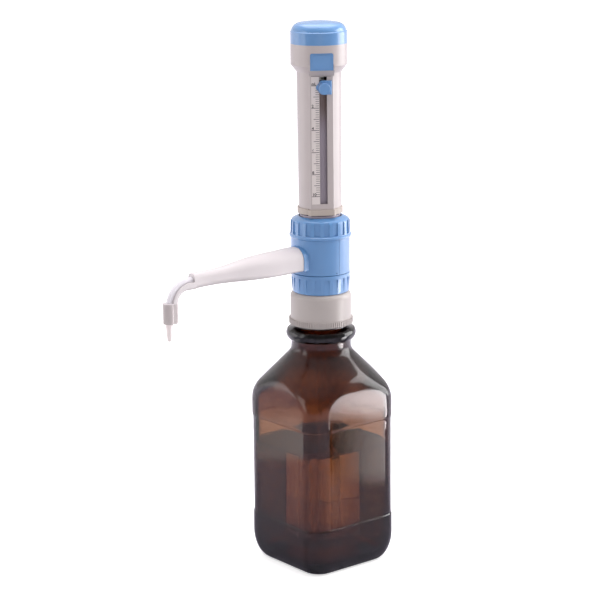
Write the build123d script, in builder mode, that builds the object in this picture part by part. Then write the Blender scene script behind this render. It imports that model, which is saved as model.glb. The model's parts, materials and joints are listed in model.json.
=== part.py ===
from build123d import *
import math
import os

# A bottle-top piston dispenser with a 0 to 10 mL stroke, screwed on a square one-litre
# reagent bottle. Millimetres, +Z up. The origin is on the bottle's axis, on the surface
# that it stands on. The bottle's faces are square to X and Y, and the spout points along -X.

os.makedirs("parts", exist_ok=True)

# ---- bottle
BOTTLE_WIDTH = 95.0
BOTTLE_CORNER = 16.5
BOTTLE_WALL = 3.2
BOTTLE_FLOOR = 4.5
HEEL_HEIGHT = 25.0
HEEL_INSET = 11.0
HEEL_CORNER_CHANGE = 3.5
HEEL_STEPS = 6
LABEL_BOTTOM = 41.4
LABEL_TOP = 128.1
LABEL_DEPTH = 0.7
SHOULDER_START = 142.9
SHOULDER_RADIUS = 23.3
SHOULDER_STEPS = 8
NECK_RADIUS = 25.6
NECK_BLEND = 10.5
BEAD_BOTTOM = 196.3
BEAD_RADIUS = 29.9
BEAD_WIDEST = 202.8
BEAD_EDGE = 205.6
BEAD_TOP = 206.8
BEAD_EDGE_RADIUS = 28.9
LIP_HEIGHT = 225.0
LIP_CHAMFER = 1.0
MOUTH_BOTTOM = 206.0
MOUTH_RADIUS = 15.2
GASKET_RADIUS = 20.0

# ---- screw thread between the bottle and its adapter
THREAD_PITCH = 4.0
THREAD_ROOT = 21.0
THREAD_CREST = 22.5
THREAD_BOTTOM = 211.5
THREAD_TOP = 221.5
SOCKET_ROOT = 23.1
SOCKET_CREST = 21.4
THREAD_HALF_BASE = 1.2
THREAD_HALF_CREST = 0.6
THREAD_BITE = 0.4

# ---- thread adapter and mounting ring
ADAPTER_BOTTOM = 209.4
ADAPTER_RADIUS = 25.9
KNURL_RADIUS = 27.25
KNURL_BOTTOM = 210.6
KNURL_TOP = 215.1
KNURL_COUNT = 84
KNURL_GROOVE = 1.0
ADAPTER_SIDE_TOP = 233.7
CEILING = 226.6
CEILING_THICKNESS = 4.0
STUB_SEAT = 23.0
STUB_BASE = 238.0
STUB_RADIUS = 22.5
STUB_TOP = 247.4
SKIRT_INNER = 18.5
STEM_SOCKET = 13.5
RING_BOTTOM = 238.1
RING_TOP = 254.7
RING_BORE = 22.9
RING_RADIUS = 24.95
RING_LIP = 1.7
FLUTE_COUNT = 20
FLUTE_WIDTH = 4.7
FLUTE_FLOOR = 24.05
FLUTE_DEPTH = 3.0
FLUTE_CORNER = 0.9
RING_FLUTES_TOP = 251.4

# ---- valve block
BLOCK_BOTTOM = 255.0
BLOCK_TOP = 285.0
BLOCK_RADIUS = 24.95
CORE_RADIUS = 20.0
CORE_FLANGE_RADIUS = 21.5
STEM_RADIUS = 10.0
STEM_BORE = 7.1
SEAT_GAP = 0.2
SPIGOT_TOP = 299.0
SPIGOT_RADIUS = 9.5
OUTLET_BORE = 4.7
SHELL_BORE = 20.3
SEAM_GAP = 0.25
SPOUT_HEIGHT = 267.0
BOSS_FACE = 27.2
CHANNEL_RADIUS = 2.0
VENT_RADIUS = 0.55
VENT_HEIGHT = 256.8
VENT_PLACE = -2.6
BOSS_WIDTH = 24.2
BOSS_LOW = 259.0
BOSS_HIGH = 279.5
BOSS_BASE_CORNER = 1.6
BOSS_BORE = 7.6
BOSS_BORE_HEIGHT = 268.6

# ---- fixing ring, sleeve and cylinder
FIXING_TOP = 303.0
FIXING_BOTTOM = 285.2
FIXING_BORE = 22.7
FIXING_MOUTH = 17.6
FIXING_SIDE_TOP = 298.0
FIXING_FLUTES_BOTTOM = 288.6
FLUTE_SPAN = 12.4
FLANGE_RADIUS = 26.15
FLANGE_TOP = 287.3
CLAMP_HEIGHT = 296.5
UPPER_STUB_TOP = 293.2
UPPER_STUB_RADIUS = 22.3
SLEEVE_RADIUS = 13.5
COLLAR_RADIUS = 17.1
COLLAR_TOP = 304.5
SLEEVE_FLANGE_RADIUS = 15.8
SLEEVE_FLANGE_BOTTOM = 413.5
SLEEVE_FLANGE_TOP = 417.5
SLEEVE_BORE = 8.0
NOTCH_HALF_WIDTH = 4.6
NOTCH_DEPTH = 13.2
CYLINDER_BORE = 5.875
CYLINDER_RADIUS = 7.5
CYLINDER_BOTTOM = 279.5
CYLINDER_TOP = 392.0
SEAL_THICKNESS = 1.2
PISTON_BOTTOM = 280.0
PISTON_TOP = 291.0
PISTON_CHAMFER = 0.5
PISTON_GROOVES = (283.0, 287.0)
PISTON_GROOVE_WIDTH = 1.2
PISTON_GROOVE_DEPTH = 0.6
ROD_RADIUS = 4.0
ROD_TIP_RADIUS = 2.6
ROD_TIP_BOTTOM = 283.0
ROD_HEAD_RADIUS = 9.0
ROD_STUD_RADIUS = 3.0
ROD_STUD_TOP = 443.0
HEAD_FLOOR = 434.0
HEAD_SEAT = 437.0
NUT_ACROSS = 8.0
NUT_HEIGHT = 5.0

# ---- housing
PANEL_ANGLE = 236.8
HOUSING_BOTTOM = 305.7
HOUSING_BORE = 16.2
TUBE_RADIUS_LOW = 17.9
TUBE_RADIUS_HIGH = 18.65
TUBE_TOP = 424.0
HEAD_BOTTOM = 430.1
HEAD_TOP = 447.4
HEAD_RADIUS = 23.6
PANEL_DEPTH = 18.2
PANEL_HALF_WIDTH = 10.5
PANEL_BEVEL = 1.0
PANEL_ROOT = 5.0
PANEL_TOP = 422.5
SLOPE_TOP = 427.0
HEAD_BORE = 21.4
HEAD_LEDGE = 1.2
HEAD_LEDGE_TOP = 442.0
HEAD_WEB = 2.0
PLATE_DEPTH = 22.3
PLATE_WIDTH = 19.0
PLATE_BOTTOM = 427.0
PLATE_TOP = 441.0
PLATE_THICKNESS = 1.5
PLATE_HEIGHT = PLATE_TOP - PLATE_BOTTOM
PLATE_MIDDLE = (PLATE_BOTTOM + PLATE_TOP) / 2
PLATE_CORNER = 1.6
PLATE_PLAY = 0.3
PLATE_FRAME = 1.2
GROOVE_WIDTH = 0.35
GROOVE_DEPTH = 0.35
RIM_TOP = 310.5
RIM_PROUD = 1.2
CAP_SIDE_TOP = 457.3
DOME_EDGE = 16.5
DOME_EDGE_HEIGHT = 464.3
DOME_FOOT = (22.9, 457.9)
DOME_SIDE = (20.9, 461.9)
CAP_TOP = 465.6
CAP_PLUG = 5.0
CAP_INNER = 19.4
CAP_WALL = 2.2

# ---- slot, scale and pointer
SLOT_OFFSET = 1.4
SLOT_WIDTH = 6.2
SLOT_BOTTOM = 315.2
SLOT_TOP = 421.5
POINTER_REST = 412.8
SCALE_LEFT = -8.6
SCALE_RIGHT = -2.0
SCALE_THICKNESS = 0.25
POINTER_GAP = 0.3
POINTER_THICKNESS = 2.2
POINTER_HEIGHT = 11.6
POINTER_LEFT = -5.4
POINTER_SHOULDER = -0.5
POINTER_NOSE = 2.4
POINTER_RIGHT = 8.3
SHANK_WIDTH = 5.4
SHANK_HEIGHT = 9.0
LUG_INNER = 13.9
LUG_OUTER = 15.1
LUG_WIDTH = 8.0
SCREW_RADIUS = 1.5
KNOB_LENGTH = 9.6
KNOB_BASE_RADIUS = 5.3
KNOB_FACE_RADIUS = 4.8
KNOB_CHAMFER = 0.4
KNOB_FOOT = 1.2
KNOB_RIBS = 20
KNOB_GROOVE = 0.62
KNOB_GROOVE_CIRCLE = 5.1
KNOB_FACE_WALL = 2.0

# ---- spout
TUBE_RADIUS = 2.5
TUBE_BORE = 1.5
TUBE_START = 27.4
NUT_START = 20.6
NUT_LENGTH = 11.0
NUT_RADIUS = 5.9
NUT_GROOVES = 12
NUT_GROOVE_RADIUS = 0.6
SPOUT_REACH = 157.5
BEND_RADIUS = 20.0
TUBE_END = 237.5
HOLDER_BOTTOM = 234.2
HOLDER_TOP = 251.0
HOLDER_RADIUS = 4.9
HOLDER_SOCKET = 3.05
SOCKET_DEPTH = 10.0
ARM_WIDTH = 9.4
ARM_BACK = 150.5
ARM_CORNER = 9.5
ARM_ROUNDING = 2.6
ARM_UNDER = 259.4
ARM_BED = 1.5
CROWN_SHARE = 0.46
NOZZLE_END = 219.6
NOZZLE_RADIUS = 1.3
NOZZLE_BORE = 0.9
SLEEVE_END = 134.5
SLEEVE_WALL = 1.5
ARM_ROOT = 2.0 - SLEEVE_END
# the sleeve's sections: distance out, width, underside, top, and radius of the lower corners
SLEEVE_SECTIONS = [
    (BOSS_FACE + 0.1, 23.0, 259.5, 279.0, 2.5),
    (46.0, 22.2, 259.1, 278.7, 2.5),
    (64.0, 20.4, 258.8, 278.0, 3.0),
    (82.0, 16.4, 258.8, 276.5, 4.5),
    (102.0, 11.8, 259.5, 273.7, 4.8),
    (118.0, 9.6, 259.7, 272.7, 4.3),
    (SLEEVE_END, 9.4, 259.4, 272.2, 4.3),
]

# ---- valves and filling tube
OUTLET_START = 12.0
OUTLET_END = 24.0
OUTLET_CAGE_START = 15.5
OUTLET_CAGE_END = 22.0
VALVE_SEAT_RADIUS = 1.6
VALVE_BODY_BOTTOM = 212.0
VALVE_BODY_TOP = 239.8
STEM_BOTTOM = 228.0
INLET_BALL_RADIUS = 3.2
INLET_BALL_HEIGHT = 221.0
OUTLET_BALL_RADIUS = 2.1
OUTLET_BALL_PLACE = 16.9
NIPPLE_RADIUS = 2.9
NIPPLE_BOTTOM = 198.0
VALVE_BODY_RADIUS = 8.0
CAGE_TOP = 226.5
CAGE_PLAY = 0.8
UPPER_TUBE_BOTTOM = 92.0
UPPER_TUBE_TOP = 211.0
LOWER_TUBE_BOTTOM = 10.0
LOWER_TUBE_TOP = 122.0
UPPER_TUBE_RADIUS = 3.8
LOWER_TUBE_RADIUS = 4.8
FIT = 0.08
GAP = 0.3

PANEL_NORMAL = Vector(1, 0, 0).rotate(Axis.Z, PANEL_ANGLE)
PANEL_RIGHT = Vector(1, 0, 0).rotate(Axis.Z, PANEL_ANGLE + 90)
UP = Vector(0, 0, 1)


def write(part, label):
    """Name a finished piece and write it to its own file."""
    part.label = label
    export_step(part, f"parts/{label}.step")


def tube(outer, inner, bottom, top):
    """A plain round tube about the Z axis, or a rod where inner is 0."""
    with BuildPart() as piece:
        with BuildSketch(Plane.XY.offset(bottom)):
            Circle(outer)
            if inner > 0:
                Circle(inner, mode=Mode.SUBTRACT)
        extrude(amount=top - bottom)
    return piece.part


def turned(*points):
    """The solid that a closed outline of (radius, height) points makes about the Z axis."""
    with BuildPart() as piece:
        with BuildSketch(Plane.XZ):
            with BuildLine():
                Polyline(*points, close=True)
            make_face()
        revolve(axis=Axis.Z)
    return piece.part


def side_section(out, height=0):
    """The upright plane square to the spout, this far out: its x runs along -Y, its y upward."""
    return Plane(origin=(-out, 0, height), x_dir=(0, -1, 0), z_dir=(-1, 0, 0))


def side_rod(radius, start, end, height=SPOUT_HEIGHT):
    """A round rod along -X, from start to end, measured out from the axis."""
    with BuildPart() as piece:
        with BuildSketch(side_section(start, height)):
            Circle(radius)
        extrude(amount=end - start)
    return piece.part


def thread_ridge(root, crest, bottom, top):
    """One helical thread ridge, standing outward or inward from root to crest."""
    side = math.copysign(1, crest - root)
    height = abs(crest - root)
    with BuildPart() as ridge:
        with BuildLine():
            path = Helix(pitch=THREAD_PITCH, height=top - bottom, radius=root, center=(0, 0, bottom))
        with BuildSketch(Plane(origin=path @ 0, x_dir=(side, 0, 0), z_dir=path % 0)):
            with BuildLine():
                Polyline(
                    (-THREAD_BITE, -THREAD_HALF_BASE),
                    (0, -THREAD_HALF_BASE),
                    (height, -THREAD_HALF_CREST),
                    (height, THREAD_HALF_CREST),
                    (0, THREAD_HALF_BASE),
                    (-THREAD_BITE, THREAD_HALF_BASE),
                    close=True,
                )
            make_face()
        sweep(is_frenet=True)
    return ridge.part


def front_plane(depth):
    """The upright plane in front of the axis at this depth: x to its right, y is height."""
    return Plane(origin=PANEL_NORMAL * depth, x_dir=PANEL_RIGHT, z_dir=PANEL_NORMAL)


def side_plane():
    """The upright plane through the axis and the panel's middle: x is depth, y is height."""
    return Plane(origin=(0, 0, 0), x_dir=PANEL_NORMAL, z_dir=PANEL_RIGHT * -1)


def level_plane(height):
    """The level plane whose x runs to the panel's right, and whose -y is the panel's depth."""
    return Plane(origin=(0, 0, height), x_dir=PANEL_RIGHT, z_dir=UP)


# ---- bottle ---------------------------------------------------------------------------

DIAGONAL = BOTTLE_WIDTH / 2 * math.sqrt(2) - BOTTLE_CORNER * (math.sqrt(2) - 1)
SLOPE_SUM = SHOULDER_START + DIAGONAL + SHOULDER_RADIUS * (math.sqrt(2) - 1)


def shoulder_radius(start_radius, height, inset):
    """Radius at a height on the shoulder: upright, then an arc, then a 45 degree slope."""
    radius = SHOULDER_RADIUS - inset
    upright = start_radius - inset
    slope_sum = SLOPE_SUM - inset * math.sqrt(2)
    arc_start = slope_sum - upright - radius * (math.sqrt(2) - 1)
    if height <= arc_start:
        return upright
    if height >= arc_start + radius * math.sin(math.pi / 4):
        return slope_sum - height
    return upright - radius + math.sqrt(radius**2 - (height - arc_start) ** 2)


def bottle_form(inset, bottom, neck, blend):
    """The bottle's outer form, or its hollow where inset is the wall's thickness."""
    flat = BOTTLE_WIDTH / 2
    round_from = SLOPE_SUM - flat - SHOULDER_RADIUS * (math.sqrt(2) - 1)
    round_from += SHOULDER_RADIUS * math.sin(math.pi / 4) - inset * math.sqrt(2) / 2
    step = (round_from - SHOULDER_START) / SHOULDER_STEPS
    width = BOTTLE_WIDTH - 2 * inset
    slope_sum = SLOPE_SUM - inset * math.sqrt(2)
    blend_top = slope_sum - neck + blend * (math.sqrt(2) - 1)
    blend_low = blend_top - blend * math.sin(math.pi / 4)
    with BuildPart() as form:
        with BuildSketch(Plane.XY.offset(HEEL_HEIGHT)):
            RectangleRounded(width, width, BOTTLE_CORNER - inset)
        extrude(amount=SHOULDER_START - HEEL_HEIGHT)
        # the heel draws in along a quarter of an ellipse, taller than it is wide
        for index in range(HEEL_STEPS + 1):
            turn = index / HEEL_STEPS * math.pi / 2
            drawn = HEEL_INSET * (1 - math.cos(turn))
            corner = BOTTLE_CORNER - inset - HEEL_CORNER_CHANGE * drawn / HEEL_INSET
            with BuildSketch(Plane.XY.offset(HEEL_HEIGHT - (HEEL_HEIGHT - bottom) * math.sin(turn))):
                RectangleRounded(width - 2 * drawn, width - 2 * drawn, corner)
        loft()
        for index in range(SHOULDER_STEPS + 1):
            height = SHOULDER_START + index * step
            half = shoulder_radius(flat, height, inset)
            diagonal = shoulder_radius(DIAGONAL, height, inset)
            corner = (half * math.sqrt(2) - diagonal) / (math.sqrt(2) - 1)
            with BuildSketch(Plane.XY.offset(height)):
                RectangleRounded(2 * half, 2 * half, min(corner, 0.995 * half))
        loft()
        with BuildSketch(Plane.XZ):
            with BuildLine():
                start = slope_sum - round_from - 0.05
                middle = math.radians(22.5)
                Line((0, round_from), (start, round_from))
                Line((start, round_from), (slope_sum - blend_low, blend_low))
                ThreePointArc(
                    (slope_sum - blend_low, blend_low),
                    (neck + blend - blend * math.cos(middle), blend_top - blend * math.sin(middle)),
                    (neck, blend_top),
                )
                Line((neck, blend_top), (neck, BEAD_BOTTOM + 1))
                Line((neck, BEAD_BOTTOM + 1), (0, BEAD_BOTTOM + 1))
                Line((0, BEAD_BOTTOM + 1), (0, round_from))
            make_face()
        revolve(axis=Axis.Z)
    return form.part


with BuildPart() as bottle:
    add(bottle_form(0, 0, NECK_RADIUS, NECK_BLEND))
    # the pouring bead, rounded below and square at its upper edge, and the finish for the thread
    with BuildSketch(Plane.XZ):
        with BuildLine():
            Line((0, BEAD_BOTTOM), (NECK_RADIUS, BEAD_BOTTOM))
            TangentArc(
                (NECK_RADIUS, BEAD_BOTTOM),
                (BEAD_RADIUS, BEAD_WIDEST),
                tangent=(1, 0.35),
            )
            Line((BEAD_RADIUS, BEAD_WIDEST), (BEAD_EDGE_RADIUS, BEAD_EDGE))
            Line((BEAD_EDGE_RADIUS, BEAD_EDGE), (THREAD_ROOT, BEAD_TOP))
            Line((THREAD_ROOT, BEAD_TOP), (THREAD_ROOT, LIP_HEIGHT - LIP_CHAMFER))
            Line((THREAD_ROOT, LIP_HEIGHT - LIP_CHAMFER), (THREAD_ROOT - LIP_CHAMFER, LIP_HEIGHT))
            Line((THREAD_ROOT - LIP_CHAMFER, LIP_HEIGHT), (0, LIP_HEIGHT))
            Line((0, LIP_HEIGHT), (0, BEAD_BOTTOM))
        make_face()
    revolve(axis=Axis.Z)
    add(bottle_form(BOTTLE_WALL, BOTTLE_FLOOR, NECK_RADIUS - BOTTLE_WALL, NECK_BLEND), mode=Mode.SUBTRACT)
    add(
        turned(
            (0, BEAD_BOTTOM - 1),
            (NECK_RADIUS - BOTTLE_WALL, BEAD_BOTTOM - 1),
            (NECK_RADIUS - BOTTLE_WALL, BEAD_BOTTOM + 1),
            (MOUTH_RADIUS, MOUTH_BOTTOM),
            (MOUTH_RADIUS, LIP_HEIGHT - LIP_CHAMFER),
            (MOUTH_RADIUS + LIP_CHAMFER, LIP_HEIGHT + LIP_CHAMFER),
            (0, LIP_HEIGHT + LIP_CHAMFER),
        ),
        mode=Mode.SUBTRACT,
    )
    # the shallow band that a label lies in, all the way round
    with BuildSketch(Plane.XY.offset(LABEL_BOTTOM)):
        Rectangle(BOTTLE_WIDTH + 2, BOTTLE_WIDTH + 2)
        band = BOTTLE_WIDTH - 2 * LABEL_DEPTH
        RectangleRounded(band, band, BOTTLE_CORNER - LABEL_DEPTH, mode=Mode.SUBTRACT)
    extrude(amount=LABEL_TOP - LABEL_BOTTOM, mode=Mode.SUBTRACT)
    add(thread_ridge(THREAD_ROOT, THREAD_CREST, THREAD_BOTTOM, THREAD_TOP))
write(bottle.part, "bottle")

# ---- neck gasket: a flat ring between the bottle's lip and the adapter's ceiling
write(tube(GASKET_RADIUS, MOUTH_RADIUS + 0.4, LIP_HEIGHT, CEILING - 0.1), "neck_gasket")

# ---- thread adapter: internally threaded skirt, knurled grip band, and the stub for the ring
with BuildPart() as thread_adapter:
    with BuildSketch(Plane.XZ):
        with BuildLine():
            Line((SOCKET_ROOT, ADAPTER_BOTTOM), (ADAPTER_RADIUS - 1.2, ADAPTER_BOTTOM))
            Line((ADAPTER_RADIUS - 1.2, ADAPTER_BOTTOM), (ADAPTER_RADIUS, KNURL_BOTTOM))
            Line((ADAPTER_RADIUS, KNURL_BOTTOM), (ADAPTER_RADIUS, ADAPTER_SIDE_TOP))
            TangentArc((ADAPTER_RADIUS, ADAPTER_SIDE_TOP), (STUB_SEAT, STUB_BASE), tangent=(0, 1))
            Line((STUB_SEAT, STUB_BASE), (STUB_RADIUS, STUB_BASE))
            Line((STUB_RADIUS, STUB_BASE), (STUB_RADIUS, STUB_TOP))
            Line((STUB_RADIUS, STUB_TOP), (SKIRT_INNER, STUB_TOP))
            Line((SKIRT_INNER, STUB_TOP), (SKIRT_INNER, CEILING + CEILING_THICKNESS))
            Line((SKIRT_INNER, CEILING + CEILING_THICKNESS), (STEM_SOCKET, CEILING + CEILING_THICKNESS))
            Line((STEM_SOCKET, CEILING + CEILING_THICKNESS), (STEM_SOCKET, CEILING))
            Line((STEM_SOCKET, CEILING), (SOCKET_ROOT, CEILING))
            Line((SOCKET_ROOT, CEILING), (SOCKET_ROOT, ADAPTER_BOTTOM))
        make_face()
    revolve(axis=Axis.Z)
    with BuildSketch(Plane.XY.offset(KNURL_BOTTOM)):
        Circle(KNURL_RADIUS)
        Circle(ADAPTER_RADIUS - 1, mode=Mode.SUBTRACT)
        with PolarLocations(KNURL_RADIUS, KNURL_COUNT):
            Rectangle(2 * KNURL_GROOVE, KNURL_GROOVE, mode=Mode.SUBTRACT)
    extrude(amount=KNURL_TOP - KNURL_BOTTOM)
    add(thread_ridge(SOCKET_ROOT, SOCKET_CREST, THREAD_BOTTOM + THREAD_PITCH / 2, THREAD_TOP + 1))
write(thread_adapter.part, "thread_adapter")


def flute_plane(index):
    """The upright plane at the floor of a ring's flute: x runs round the ring, y is height."""
    outward = Vector(1, 0, 0).rotate(Axis.Z, (index + 0.5) * 360 / FLUTE_COUNT)
    return Plane(origin=outward * FLUTE_FLOOR, x_dir=UP.cross(outward), z_dir=outward)


# ---- mounting ring: a fluted union nut that pulls the valve core onto the adapter's stub
with BuildPart() as mounting_ring:
    with BuildSketch(Plane.XZ):
        with BuildLine():
            Line((RING_BORE, RING_BOTTOM), (RING_RADIUS - 1.75, RING_BOTTOM))
            TangentArc(
                (RING_RADIUS - 1.75, RING_BOTTOM),
                (RING_RADIUS - 0.75, RING_BOTTOM + 1.3),
                tangent=(1, 0.2),
            )
            Line((RING_RADIUS - 0.75, RING_BOTTOM + 1.3), (RING_RADIUS, RING_FLUTES_TOP))
            Line((RING_RADIUS, RING_FLUTES_TOP), (RING_RADIUS, RING_TOP - 0.4))
            Line((RING_RADIUS, RING_TOP - 0.4), (RING_RADIUS - 0.4, RING_TOP))
            Line((RING_RADIUS - 0.4, RING_TOP), (SKIRT_INNER, RING_TOP))
            Line((SKIRT_INNER, RING_TOP), (SKIRT_INNER, RING_TOP - RING_LIP))
            Line((SKIRT_INNER, RING_TOP - RING_LIP), (RING_BORE, RING_TOP - RING_LIP))
            Line((RING_BORE, RING_TOP - RING_LIP), (RING_BORE, RING_BOTTOM))
        make_face()
    revolve(axis=Axis.Z)
    # the flutes run out through the bottom edge and end in round corners at the top
    for index in range(FLUTE_COUNT):
        with BuildSketch(flute_plane(index)):
            with Locations((0, (RING_BOTTOM - 2 + RING_FLUTES_TOP) / 2)):
                RectangleRounded(FLUTE_WIDTH, RING_FLUTES_TOP - RING_BOTTOM + 2, FLUTE_CORNER)
        extrude(amount=FLUTE_DEPTH, mode=Mode.SUBTRACT)
write(mounting_ring.part, "mounting_ring")

# ---- valve core: the plastic block that holds both valves and the cylinder
with BuildPart() as valve_core:
    with BuildSketch(Plane.XZ):
        with BuildLine():
            Polyline(
                (0, STEM_BOTTOM),
                (STEM_RADIUS, STEM_BOTTOM),
                (STEM_RADIUS, STUB_TOP + 0.1),
                (CORE_FLANGE_RADIUS, STUB_TOP + 0.1),
                (CORE_FLANGE_RADIUS, RING_TOP - RING_LIP - GAP),
                (SKIRT_INNER - 0.5, RING_TOP - RING_LIP - GAP),
                (SKIRT_INNER - 0.5, BLOCK_BOTTOM),
                (CORE_RADIUS, BLOCK_BOTTOM),
                (CORE_RADIUS, BLOCK_TOP + SEAT_GAP),
                (UPPER_STUB_RADIUS, BLOCK_TOP + SEAT_GAP),
                (UPPER_STUB_RADIUS, UPPER_STUB_TOP),
                (SPIGOT_RADIUS, UPPER_STUB_TOP),
                (SPIGOT_RADIUS, SPIGOT_TOP),
                (0, SPIGOT_TOP),
                close=True,
            )
        make_face()
    revolve(axis=Axis.Z)
    add(tube(CHANNEL_RADIUS, 0, STEM_BOTTOM, SPIGOT_TOP), mode=Mode.SUBTRACT)
    add(tube(STEM_BORE, 0, STEM_BOTTOM, VALVE_BODY_TOP + 0.2), mode=Mode.SUBTRACT)
    add(tube(CYLINDER_RADIUS + 0.1, 0, CYLINDER_BOTTOM - SEAL_THICKNESS, SPIGOT_TOP), mode=Mode.SUBTRACT)
    add(side_rod(CHANNEL_RADIUS, 0, OUTLET_START), mode=Mode.SUBTRACT)
    add(side_rod(OUTLET_BORE, OUTLET_START, CORE_RADIUS + 2), mode=Mode.SUBTRACT)
write(valve_core.part, "valve_core")

# ---- valve block shells: two half covers that meet on the plane x = 0
SEAM_OUTWARD = {"valve_block_front_shell": -1, "valve_block_rear_shell": 1}


def arch_outline(width, low, high, base_corner, crown_corner):
    """Draw, in the current line builder, an outline rounded a little below and a lot above."""
    half = width / 2
    base = base_corner * (1 - math.sqrt(0.5))
    crown = crown_corner * (1 - math.sqrt(0.5))
    Line((-half + base_corner, low), (half - base_corner, low))
    ThreePointArc((half - base_corner, low), (half - base, low + base), (half, low + base_corner))
    Line((half, low + base_corner), (half, high - crown_corner))
    ThreePointArc((half, high - crown_corner), (half - crown, high - crown), (half - crown_corner, high))
    Line((half - crown_corner, high), (crown_corner - half, high))
    ThreePointArc((crown_corner - half, high), (crown - half, high - crown), (-half, high - crown_corner))
    Line((-half, high - crown_corner), (-half, low + base_corner))
    ThreePointArc((-half, low + base_corner), (base - half, low + base), (base_corner - half, low))


def block_shell(side):
    """One half of the round cover, on the -X side where side is -1."""
    with BuildPart() as shell:
        with BuildSketch(Plane.XY.offset(BLOCK_BOTTOM)):
            Circle(BLOCK_RADIUS)
        extrude(amount=BLOCK_TOP - BLOCK_BOTTOM)
        chamfer(shell.edges().group_by(Axis.Z)[0], 0.4)
        if side < 0:
            with BuildSketch(side_section(CORE_RADIUS)):
                with BuildLine():
                    arch_outline(BOSS_WIDTH, BOSS_LOW, BOSS_HIGH, BOSS_BASE_CORNER, CROWN_SHARE * BOSS_WIDTH)
                make_face()
            extrude(amount=BOSS_FACE - CORE_RADIUS)
            add(side_rod(BOSS_BORE, CORE_RADIUS - 5, BOSS_FACE + 1, BOSS_BORE_HEIGHT), mode=Mode.SUBTRACT)
        add(tube(SHELL_BORE, 0, BLOCK_BOTTOM - 1, BLOCK_TOP + 1), mode=Mode.SUBTRACT)
        half = 2 * BLOCK_RADIUS
        with BuildSketch(Plane.XY.offset(BLOCK_BOTTOM - 1)):
            with Locations((-side * (half / 2 - SEAM_GAP / 2), 0)):
                Rectangle(half, 2 * half)
        extrude(amount=BLOCK_TOP - BLOCK_BOTTOM + 2, mode=Mode.SUBTRACT)
        if side < 0:
            vent_origin = (VENT_PLACE, -BLOCK_RADIUS - 1, VENT_HEIGHT)
            with BuildSketch(Plane(origin=vent_origin, x_dir=(1, 0, 0), z_dir=(0, 1, 0))):
                Circle(VENT_RADIUS)
            extrude(amount=3, mode=Mode.SUBTRACT)
    return shell.part


for label, side in SEAM_OUTWARD.items():
    write(block_shell(side), label)

# ---- fixing ring: the upper fluted union nut, which holds the sleeve on the core
with BuildPart() as fixing_ring:
    with BuildSketch(Plane.XZ):
        with BuildLine():
            Line((FIXING_BORE, FIXING_BOTTOM), (FLANGE_RADIUS - 0.55, FIXING_BOTTOM))
            Line((FLANGE_RADIUS - 0.55, FIXING_BOTTOM), (FLANGE_RADIUS, FIXING_BOTTOM + 0.6))
            Line((FLANGE_RADIUS, FIXING_BOTTOM + 0.6), (FLANGE_RADIUS, FLANGE_TOP))
            Line((FLANGE_RADIUS, FLANGE_TOP), (RING_RADIUS + 0.35, FLANGE_TOP + 0.7))
            Line((RING_RADIUS + 0.35, FLANGE_TOP + 0.7), (RING_RADIUS, FIXING_SIDE_TOP))
            ThreePointArc(
                (RING_RADIUS, FIXING_SIDE_TOP),
                (RING_RADIUS - 0.8, FIXING_SIDE_TOP + 2.0),
                (RING_RADIUS - 2.8, FIXING_SIDE_TOP + 3.4),
            )
            Line((RING_RADIUS - 2.8, FIXING_SIDE_TOP + 3.4), (FIXING_MOUTH + 1.2, FIXING_TOP))
            Line((FIXING_MOUTH + 1.2, FIXING_TOP), (FIXING_MOUTH + 0.5, FIXING_TOP))
            Line((FIXING_MOUTH + 0.5, FIXING_TOP), (FIXING_MOUTH, FIXING_TOP - 3))
            Line((FIXING_MOUTH, FIXING_TOP - 3), (FIXING_MOUTH, CLAMP_HEIGHT))
            Line((FIXING_MOUTH, CLAMP_HEIGHT), (FIXING_BORE, CLAMP_HEIGHT))
            Line((FIXING_BORE, CLAMP_HEIGHT), (FIXING_BORE, FIXING_BOTTOM))
        make_face()
    revolve(axis=Axis.Z)
    # the flutes cut into the rounded shoulder, with round corners at their lower ends
    for index in range(FLUTE_COUNT):
        with BuildSketch(flute_plane(index)):
            with Locations((0, FIXING_FLUTES_BOTTOM + FLUTE_SPAN / 2)):
                RectangleRounded(FLUTE_WIDTH, FLUTE_SPAN, FLUTE_CORNER)
        extrude(amount=FLUTE_DEPTH, mode=Mode.SUBTRACT)
write(fixing_ring.part, "fixing_ring")

# ---- cylinder sleeve: the dark tube that the housing slides over
with BuildPart() as cylinder_sleeve:
    with BuildSketch(Plane.XZ):
        with BuildLine():
            Polyline(
                (SPIGOT_RADIUS + 0.2, UPPER_STUB_TOP),
                (UPPER_STUB_RADIUS - 0.1, UPPER_STUB_TOP),
                (UPPER_STUB_RADIUS - 0.1, CLAMP_HEIGHT - SEAT_GAP),
                (COLLAR_RADIUS, CLAMP_HEIGHT - SEAT_GAP),
                (COLLAR_RADIUS, COLLAR_TOP),
                (SLEEVE_RADIUS, COLLAR_TOP),
                (SLEEVE_RADIUS, SLEEVE_FLANGE_BOTTOM),
                (SLEEVE_FLANGE_RADIUS, SLEEVE_FLANGE_BOTTOM),
                (SLEEVE_FLANGE_RADIUS, SLEEVE_FLANGE_TOP),
                (SLEEVE_BORE, SLEEVE_FLANGE_TOP),
                (SLEEVE_BORE, SPIGOT_TOP + 0.3),
                (SPIGOT_RADIUS + 0.2, SPIGOT_TOP + 0.3),
                close=True,
            )
        make_face()
    revolve(axis=Axis.Z)
    # the keyway in the top flange, which the pointer's lug passes along
    with BuildSketch(level_plane(SLEEVE_FLANGE_BOTTOM)):
        with Locations((SLOT_OFFSET, -NOTCH_DEPTH - 2)):
            Rectangle(2 * NOTCH_HALF_WIDTH, 4)
    extrude(amount=SLEEVE_FLANGE_TOP - SLEEVE_FLANGE_BOTTOM, mode=Mode.SUBTRACT)
write(cylinder_sleeve.part, "cylinder_sleeve")

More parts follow.
